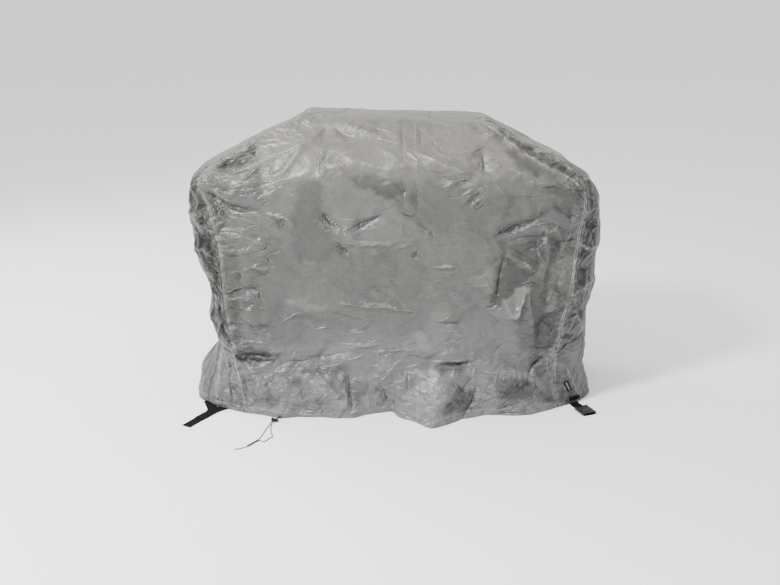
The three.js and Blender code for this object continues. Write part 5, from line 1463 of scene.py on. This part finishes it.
def wire(made, wires):
    """Sets a node's inputs, in order or by name, each to a value or another node's output."""
    for name, value in wires.items() if isinstance(wires, dict) else enumerate(wires):
        if isinstance(value, bpy.types.NodeSocket):
            Tree.now.links.new(value, made.inputs[name])
        elif value is not None:
            made.inputs[name].default_value = value


def node(kind, wires=(), **settings):
    """Adds a node with its settings and inputs."""
    made = Tree.now.nodes.new("ShaderNode" + kind)
    for name, value in settings.items():
        setattr(made, name, value)
    wire(made, wires)
    return made


def math_node(operation, *values, clamp=False):
    return node("Math", values, operation=operation, use_clamp=clamp).outputs[0]


def times(a, b):
    return math_node("MULTIPLY", a, b)


def plus(a, b):
    return math_node("ADD", a, b)


def minus(a, b, clamp=False):
    return math_node("SUBTRACT", a, b, clamp=clamp)


def over(a, b, clamp=False):
    return math_node("DIVIDE", a, b, clamp=clamp)


def times_plus(a, b, c):
    return math_node("MULTIPLY_ADD", a, b, c)


def size_of(a):
    return math_node("ABSOLUTE", a)


def scaled(vector, scale):
    return node("VectorMath", {0: vector, "Scale": scale}, operation="SCALE").outputs[0]


def split(vector):
    return node("SeparateXYZ", [vector]).outputs


def noise_node(place, scale, detail, seed=None):
    """Soft noise; a seed gives it a pattern of its own."""
    wires = {"Vector": place, "Scale": scale, "Detail": detail, "W": seed}
    return node("TexNoise", wires, noise_dimensions="3D" if seed is None else "4D").outputs


def noise(place, scale, detail, seed=None):
    return noise_node(place, scale, detail, seed)[0]


def warped(place, scale, distance):
    """A place, shifted by noise, so that straight patterns wander."""
    shift = scaled(noise_node(place, scale, 2.0)[1], distance)
    return node("VectorMath", [place, shift], operation="ADD").outputs[0]


def leaning(place, turn, stretch):
    """A place turned about the depth axis and stretched upwards."""
    return node("Mapping", {"Vector": place, "Rotation": (0, turn, 0), "Scale": (1, 1, stretch)}).outputs[0]


def point_value(name):
    return node("Attribute", attribute_name=name).outputs["Fac"]


def span(value, low, high, to_low=0.0, to_high=1.0):
    """A value between two limits, mapped smoothly on to two others."""
    wires = {"Value": value, "From Min": low, "From Max": high, "To Min": to_low, "To Max": to_high}
    return node("MapRange", wires, interpolation_type="SMOOTHSTEP").outputs[0]


def blend_colors(share, a, b):
    return node("Mix", {0: share, 6: a, 7: b}, data_type="RGBA").outputs[2]


def gray(value):
    return (value, value, value, 1)


def bump(height, distance, strength=1.0, normal=None):
    wires = {"Height": height, "Distance": distance, "Strength": strength, "Normal": normal}
    return node("Bump", wires).outputs[0]


def node_group(name, **inputs):
    """Starts a node group: its inputs are vectors where they have no value, and numbers else."""
    tree = bpy.data.node_groups.new(name, "ShaderNodeTree")
    for label, value in inputs.items():
        kind = "NodeSocketVector" if value is None else "NodeSocketFloat"
        socket = tree.interface.new_socket(label.replace("_", " "), in_out="INPUT", socket_type=kind)
        if value is not None:
            socket.default_value = value
    Tree.now = tree
    return tree.nodes.new("NodeGroupInput").outputs


def give(**results):
    """Ends a node group with its outputs."""
    tree = Tree.now
    for label in results:
        tree.interface.new_socket(label, in_out="OUTPUT", socket_type="NodeSocketFloat")
    end = tree.nodes.new("NodeGroupOutput")
    for label, value in results.items():
        tree.links.new(value, end.inputs[label])
    return tree


def use(group_tree, wires):
    """Adds a node group to a material and wires its inputs by name."""
    made = Tree.now.nodes.new("ShaderNodeGroup")
    made.node_tree = group_tree
    wire(made, wires)
    return made.outputs


TURN = 2 * math.pi


def make_weave_group():
    given = node_group("plain weave", Cut=None, Pitch=0.0006)
    place = split(given["Cut"])
    wander = noise(given["Cut"], 90.0, 2.0)
    threads = [
        math_node("SINE", times(times_plus(wander, strength, over(place[axis], given["Pitch"])), TURN))
        for axis, strength in ((0, 0.9), (1, 0.7))
    ]
    height = times(*threads)
    return give(Height=height, Shade=times_plus(height, 0.5, 0.5))


def make_crease_group():
    """Fine sharp creases of a coated cloth: long thin lines in three directions, in patches."""
    given = node_group("fine creases", Place=None, Busy=1.0)
    place = given["Place"]
    moved = warped(place, 5.0, 0.09)
    total = times(noise(moved, 22.0, 3.0), 1.4)
    for turn, scale, stretch, seed in FINE_CREASES:
        ridge = size_of(minus(noise(leaning(moved, turn, stretch), scale, 1.5, seed), 0.5))
        sharp = span(ridge, 0.0, 0.045, 1.0, 0.0)
        shown = span(noise(place, 6.5, 1.0, seed), 0.50, 0.62)
        total = plus(total, times(sharp, shown))
    return give(Height=times(total, given["Busy"]), Mask=math_node("MINIMUM", total, 1.0))


def make_facet_group():
    """Crumpled cloth: flat facets of two sizes that stand out or in and meet in creases."""
    given = node_group("crumpled facets", Place=None, Busy=1.0)
    moved = warped(given["Place"], 7.0, 0.05)
    facets_out = []
    for turn, scale, stretch, slope in FACETS:
        wires = {"Vector": leaning(moved, turn, stretch), "Scale": scale}
        inward = node("TexVoronoi", wires, feature="DISTANCE_TO_EDGE").outputs["Distance"]
        cell = node("TexVoronoi", wires).outputs["Color"]
        facets_out.append(times(inward, span(split(cell)[0], 0.2, 0.8, -slope / scale, slope / scale)))
    return give(Height=times(plus(*facets_out), given["Busy"]))


def make_line_group():
    """The sharp line of a listed crease, from how far a place lies to its side, with painted highlights on
    ridges and painted shade in grooves.
    """
    given = node_group(
        "crease lines", Ridge_off=1.0, Ridge_out=0.0, Groove_off=1.0, Groove_out=0.0, Width=0.65
    )
    heights = []
    for kind in ("Ridge", "Groove"):
        away = over(size_of(given[kind + " off"]), given["Width"])
        sharp = math_node("POWER", minus(1.0, away, clamp=True), 1.6)
        heights.append(times(sharp, given[kind + " out"]))
    ridge, groove = heights
    return give(
        Height=minus(ridge, groove),
        Ridges=over(ridge, FULL_CREASE, clamp=True),
        Grooves=over(groove, FULL_CREASE, clamp=True),
    )


def make_wear_group():
    """Where the cloth is scuffed lighter, and where dust has settled near the floor."""
    given = node_group("scuffs and dust", Place=None, To_hem=1.0, To_seam=1.0)
    place = given["Place"]
    fine = noise(place, 46.0, 5.0)
    specks = node("TexVoronoi", {"Vector": place, "Scale": 160.0}).outputs[0]
    near_seam = span(given["To seam"], 0.0, 0.006, 0.7, 0.0)
    near_hem = span(given["To hem"], 0.0, 0.22, 1.0, 0.0)
    dots = times(span(specks, 0.22, 0.08), near_hem)
    return give(
        Scuffs=times(span(fine, 0.50, 0.66), plus(near_seam, 0.18)),
        Dust=times_plus(dots, 0.35, times(near_hem, span(fine, 0.36, 0.70))),
        Blotches=span(noise(place, 3.6, 4.0), 0.34, 0.66),
        Roughness=span(fine, 0.3, 0.7, -0.05, 0.05),
    )


def make_stitch_group():
    """A row of stitches at a distance from an edge."""
    given = node_group("stitches", Distance=1.0, Along=0.0, Line=0.004, Pitch=0.0034)
    away = size_of(minus(given["Distance"], given["Line"]))
    row = span(away, 0.0003, 0.0007, 1.0, 0.0)
    gap = size_of(minus(math_node("FRACT", over(given["Along"], given["Pitch"])), 0.5))
    thread = times(row, span(gap, 0.34, 0.44, 1.0, 0.0))
    return give(Thread=thread, Height=times_plus(thread, 0.8, span(away, 0.0, 0.0022, -0.6, 0.0)))


def make_webbing_group():
    """Heavy webbing: cords of thread along it, each crossed by slanting turns."""
    given = node_group("webbing", Cut=None)
    place = split(given["Cut"])
    across = over(place[0], 0.0021)
    odd = math_node("PINGPONG", math_node("FLOOR", across), 1.0)
    inside = minus(math_node("FRACT", across), 0.5)
    crown = minus(1.0, times(times(inside, inside), 3.4))
    slant = times(inside, times_plus(odd, 2.0, -1.0))
    along = plus(over(place[1], 0.0017), slant)
    height = times_plus(math_node("SINE", times(along, TURN)), 0.28, crown)
    fuzz = noise(given["Cut"], 900.0, 3.0)
    return give(Height=times_plus(fuzz, 0.25, height), Shade=span(height, 0.1, 1.2), Fuzz=fuzz)


def make_moulding_group():
    """Moulded plastic: a fine grain, and marks rubbed paler."""
    given = node_group("moulded grain", Place=None)
    marks = noise(given["Place"], 130.0, 6.0)
    return give(
        Height=noise(given["Place"], 1400.0, 2.0),
        Rubbed=span(marks, 0.52, 0.70),
        Roughness=span(marks, 0.3, 0.7, -0.08, 0.10),
    )


def make_braid_group():
    """Threads of a braid that cross along a cord."""
    given = node_group("braid", Cut=None)
    place = split(given["Cut"])
    round_turns = times(place[0], 6.0)
    along = over(place[1], 0.0016)
    strands = [
        math_node("SINE", times(times_plus(round_turns, sign, along), TURN)) for sign in (1.0, -1.0)
    ]
    height = math_node("MAXIMUM", *strands)
    return give(Height=height, Shade=span(height, -0.4, 1.0))


# A row for each direction of creases: turn, scale, stretch and seed
FINE_CREASES = [(0.35, 8.0, 2.0, 1.0), (-0.75, 12.0, 2.2, 4.0), (1.35, 17.0, 1.8, 8.0)]
FACETS = [(0.5, 17.0, 1.7, 0.60), (-0.7, 38.0, 1.5, 0.34)]  # turn, scale, stretch and slope
FULL_CREASE = 0.006  # a ridge of this height gets its full painted highlight, a groove its full painted shade
WEAVE = make_weave_group()
CREASES = make_crease_group()
CRUMPLED = make_facet_group()
LINES = make_line_group()
WEAR = make_wear_group()
STITCHES = make_stitch_group()
WEBBING_WEAVE = make_webbing_group()
MOULDING = make_moulding_group()
BRAID = make_braid_group()


def new_material(name):
    """A material with an empty tree but for its shader and output."""
    material = bpy.data.materials.new(name)
    material.use_nodes = True
    Tree.now = material.node_tree
    Tree.now.nodes.clear()
    shader = node("BsdfPrincipled")
    node("OutputMaterial", [shader.outputs[0]])
    return material, shader


def cut_place():
    """A place on the flat cloth, as it was cut."""
    return node("UVMap", uv_map="cut").outputs[0]


def object_place():
    return node("TexCoord").outputs["Object"]


HOOD_PAINTED_LIGHT = (0.142, 0.141, 0.128, 1)  # painted light: the hood, which faces up to the light, is painted paler and warmer
LINE_SHARE = 0.50  # how much of a crease's height lies in its sharp line
MIDDLE_CREASES = 0.35
MIDDLE_FACETS = 0.18
HEM_FACETS = 0.45
# Painted highlight along the ridges of creases and painted shade in their grooves: how much of each, and
# their colours
RIDGE_HIGHLIGHT = 0.50
RIDGE_HIGHLIGHT_COLOR = (0.28, 0.28, 0.275, 1)
GROOVE_SHADE = 0.70
GROOVE_SHADE_COLOR = (0.020, 0.020, 0.021, 1)
SCUFF_COLOR = (0.62, 0.62, 0.60, 1)
DUST_COLOR = (0.47, 0.46, 0.43, 1)
THREAD_COLOR = (0.42, 0.42, 0.41, 1)
SEAM_LINES = (0.0045, 0.0105)  # where the two rows of stitches beside a seam lie


def silver_cloth(name, color, warm, low, roughness, crease, facet, shine):
    """Coated polyester of a panel: its weave, creases, scuffs, dust and stitched edges, with painted light
    and shade: a paler, warmer hood, paler towards the floor, highlights on ridges, shade in grooves, and
    patches.
    """
    material, shader = new_material(name)
    cut = cut_place()
    place = object_place()
    to_seam = point_value("to_seam")
    to_hem = point_value("to_hem")
    cuts = split(cut)
    weave = use(WEAVE, {"Cut": cut})
    edges = math_node("MINIMUM", to_seam, times(to_hem, 0.6))
    creases = use(CREASES, {"Place": place, "Busy": span(edges, 0.0, 0.14, 1.0, MIDDLE_CREASES)})
    lines = use(LINES, {label.replace("_", " ").capitalize(): point_value(label) for label in LINE_NAMES})
    wear = use(WEAR, {"Place": place, "To hem": to_hem, "To seam": to_seam})
    rows = [use(STITCHES, {"Distance": to_hem, "Along": cuts[0], "Line": HEM_BAND - STITCH_INSET})]
    rows += [use(STITCHES, {"Distance": to_seam, "Along": cuts[1], "Line": line}) for line in SEAM_LINES]
    thread = math_node("MAXIMUM", rows[0]["Thread"], math_node("MAXIMUM", *[r["Thread"] for r in rows[1:]]))
    level = split(place)[2]
    # Painted light: the cloth's colour grows paler and bluer towards the floor
    shade = blend_colors(span(level, FLOOR, FLOOR + 0.5), low, color)
    for share, layer in (
        # painted light: the hood is paler and warmer where it faces up
        (span(level, FLOOR + 0.80, FLOOR + 0.93), HOOD_PAINTED_LIGHT),
        (times(wear["Blotches"], 0.35), warm),
        (times(wear["Scuffs"], 0.12), SCUFF_COLOR),
        (times(wear["Dust"], 0.12), DUST_COLOR),
        (thread, THREAD_COLOR),
        (times(weave["Shade"], 0.10), gray(0.10)),
        # painted highlights along ridges and painted shade in grooves
        (times(lines["Ridges"], RIDGE_HIGHLIGHT), RIDGE_HIGHLIGHT_COLOR),
        (times(lines["Grooves"], GROOVE_SHADE), GROOVE_SHADE_COLOR),
    ):
        shade = blend_colors(share, shade, layer)
    by_seam = span(to_seam, 0.0, 0.12, facet, MIDDLE_FACETS)
    by_hem = span(to_hem, 0.10, 0.26, HEM_FACETS, 0.0)
    crumpled = use(CRUMPLED, {"Place": place, "Busy": math_node("MAXIMUM", by_seam, by_hem)})
    normal = bump(times(lines["Height"], LINE_SHARE), 1.0)
    normal = bump(crumpled["Height"], 1.0, 1.0, normal)
    normal = bump(creases["Height"], crease, 1.0, normal)
    for row in rows:
        normal = bump(row["Height"], 0.0006, 0.8, normal)
    wire(shader, {
        # the colour is scaled by the light and shade painted on the panel
        "Base Color": scaled(shade, times_plus(point_value("tone"), PAINTED_LIGHT_STRENGTH, 1.0)),
        "Roughness": plus(times_plus(wear["Dust"], 0.15, roughness), wear["Roughness"]),
        "Normal": bump(weave["Height"], 0.00004, 0.5, normal),
        "Metallic": 0.30,
        "Specular IOR Level": shine,
        "Sheen Weight": 0.08,
        "Sheen Roughness": 0.4,
    })
    return material


def black_webbing():
    material, shader = new_material("black_webbing")
    web = use(WEBBING_WEAVE, {"Cut": cut_place()})
    color = blend_colors(web["Shade"], (0.0010, 0.0010, 0.0011, 1), (0.0050, 0.0050, 0.0052, 1))
    wire(shader, {
        "Base Color": blend_colors(span(web["Fuzz"], 0.58, 0.78), color, gray(0.012)),
        "Normal": bump(web["Height"], 0.00035, 0.9),
        "Roughness": span(web["Fuzz"], 0.3, 0.7, 0.62, 0.85),
        "Specular IOR Level": 0.09,
    })
    return material


def black_plastic():
    material, shader = new_material("black_plastic")
    grain = use(MOULDING, {"Place": object_place()})
    wire(shader, {
        "Base Color": blend_colors(grain["Rubbed"], (0.003, 0.003, 0.0033, 1), gray(0.009)),
        "Normal": bump(grain["Height"], 0.00005, 0.6),
        "Roughness": plus(grain["Roughness"], 0.34),
        "Specular IOR Level": 0.28,
    })
    return material


def black_cord():
    material, shader = new_material("black_cord")
    braid = use(BRAID, {"Cut": cut_place()})
    wire(shader, {
        "Base Color": blend_colors(braid["Shade"], gray(0.002), gray(0.010)),
        "Normal": bump(braid["Height"], 0.00012, 0.8),
        "Roughness": span(braid["Shade"], 0.0, 1.0, 0.75, 0.5),
        "Specular IOR Level": 0.2,
    })
    return material


def label_cloth():
    """Woven black label, blank but for a paler stripe down its middle."""
    material, shader = new_material("label_cloth")
    cut = cut_place()
    place = split(cut)
    weave = use(WEAVE, {"Cut": cut, "Pitch": 0.0004})
    away = size_of(place[0])
    stripe = span(away, 0.0022, 0.0030, 1.0, 0.0)
    ends = span(size_of(place[1]), 0.0170, 0.0178, 1.0, 0.0)
    fold = span(away, 0.0086, 0.0094)
    color = blend_colors(times(stripe, ends), (0.005, 0.005, 0.0055, 1), gray(0.30))
    wire(shader, {
        "Base Color": blend_colors(times(weave["Shade"], 0.4), color, gray(0.003)),
        "Normal": bump(times_plus(fold, 2.0, weave["Height"]), 0.00008, 0.8),
        "Roughness": span(weave["Shade"], 0.0, 1.0, 0.55, 0.7),
        "Specular IOR Level": 0.12,
    })
    return material


MAIN_CLOTH = silver_cloth(
    "silver_cloth_main", (0.074, 0.076, 0.075, 1), (0.096, 0.095, 0.090, 1), (0.120, 0.125, 0.131, 1),
    0.46, 0.0016, 0.8, 0.5,
)
# The end panels' cloth is painted darker than the front's: painted shade, as they turn away from the light
SHADED_END_CLOTH = silver_cloth(
    "silver_cloth_ends_shaded", (0.027, 0.028, 0.028, 1), (0.040, 0.040, 0.037, 1), (0.082, 0.085, 0.087, 1),
    0.44, 0.0014, 1.5, 0.15,
)
WEBBING_BLACK = black_webbing()
PLASTIC_BLACK = black_plastic()
CORD_BLACK = black_cord()
LABEL_BLACK = label_cloth()

for piece, material, slot, solid in (
    (main_panel, MAIN_CLOTH, "silver_cloth", "front_top_back_panel"),
    (left_panel, SHADED_END_CLOTH, "silver_cloth", "left_end_panel"),
    (right_panel, SHADED_END_CLOTH, "silver_cloth", "right_end_panel"),
    (label, LABEL_BLACK, "label_cloth", "label"),
    (tab, WEBBING_BLACK, "black_webbing", "right_tab"),
    (left_long, WEBBING_BLACK, "black_webbing", "left_strap_long"),
    (left_short, WEBBING_BLACK, "black_webbing", "left_strap_short"),
    (right_strap, WEBBING_BLACK, "black_webbing", "right_strap"),
    (buckle, PLASTIC_BLACK, "black_plastic", "right_buckle"),
    (lock, PLASTIC_BLACK, "black_plastic", "cord_lock"),
    (long_cord, CORD_BLACK, "black_cord", "cord_long_end"),
    (short_cord, CORD_BLACK, "black_cord", "cord_short_end"),
):
    dress(piece, material, solid)


# Floor and light
FLOOR_RADIUS = 300  # far enough that its edge stays above the photograph's frame
BACKDROP_HEIGHT = 38
ROUND_CORNERS = 96
UNDER = FLOOR - 0.0002
rim_turns = np.linspace(0, TURN, ROUND_CORNERS, endpoint=False)
rim = [(FLOOR_RADIUS * math.cos(t), FLOOR_RADIUS * math.sin(t)) for t in rim_turns]
floor = new_piece("floor", [(x, y, UNDER) for x, y in rim], [tuple(range(ROUND_CORNERS))])
numbers = [(i, (i + 1) % ROUND_CORNERS) for i in range(ROUND_CORNERS)]
backdrop = new_piece(
    "backdrop",
    [(x, y, z) for z in (UNDER, FLOOR + BACKDROP_HEIGHT) for x, y in rim],
    [(after, i, i + ROUND_CORNERS, after + ROUND_CORNERS) for i, after in numbers],
)
floor_material, floor_shader = new_material("floor")
clean_floor = noise(object_place(), 1.3, 3.0)
wire(floor_shader, {
    "Base Color": blend_colors(clean_floor, gray(0.95), gray(0.97)),
    "Roughness": 0.9,
})
for stage_piece in (floor, backdrop):
    stage_piece.data.materials.append(floor_material)


def softbox(name, place, aim, size, power, color):
    """A soft rectangular light that looks at a point."""
    light = bpy.data.lights.new(name, "AREA")
    light.shape = "RECTANGLE"
    light.size, light.size_y = size
    light.energy = power
    light.color = color
    lamp = bpy.data.objects.new(name, light)
    lamp.location = place
    lamp.rotation_euler = (Vector(aim) - Vector(place)).to_track_quat("-Z", "Y").to_euler()
    bpy.context.collection.objects.link(lamp)
    return lamp


softbox("key", (-2.5, -2.5, 2.4), (0.05, 0, -0.45), (0.7, 0.7), 400, (1.0, 0.98, 0.95))
softbox("overhead", (-0.2, -1.6, 2.4), (0.0, -0.1, 0), (3.0, 1.4), 22, (1.0, 0.965, 0.90))
softbox("front fill", (0.2, -4.2, -0.50), (0, 0, -0.6), (3.0, 0.7), 14, (0.84, 0.92, 1.0))
softbox("back left", (-2.6, 1.6, 1.5), (-0.3, 0, -0.1), (1.6, 1.6), 80, (1.0, 0.99, 0.97))

# Light from all round: dim in front, where the cloth mirrors it, and bright behind and overhead
FRONT_LIGHT = (0.10, 0.105, 0.115, 1)
BACK_LIGHT = (1.5, 1.5, 1.5, 1)
OVERHEAD = (2.1, 2.08, 2.05, 1)
LIGHT_ROUND = 0.74
world = bpy.data.worlds.new("studio")
world.use_nodes = True
Tree.now = world.node_tree
toward = split(node("TexCoord").outputs["Generated"])
around = blend_colors(span(toward[1], -0.1, 0.7), FRONT_LIGHT, BACK_LIGHT)
overhead = blend_colors(span(toward[2], 0.0, 0.9), around, OVERHEAD)
wire(Tree.now.nodes["Background"], {0: overhead, 1: LIGHT_ROUND})
bpy.context.scene.world = world

bpy.context.view_layer.update()
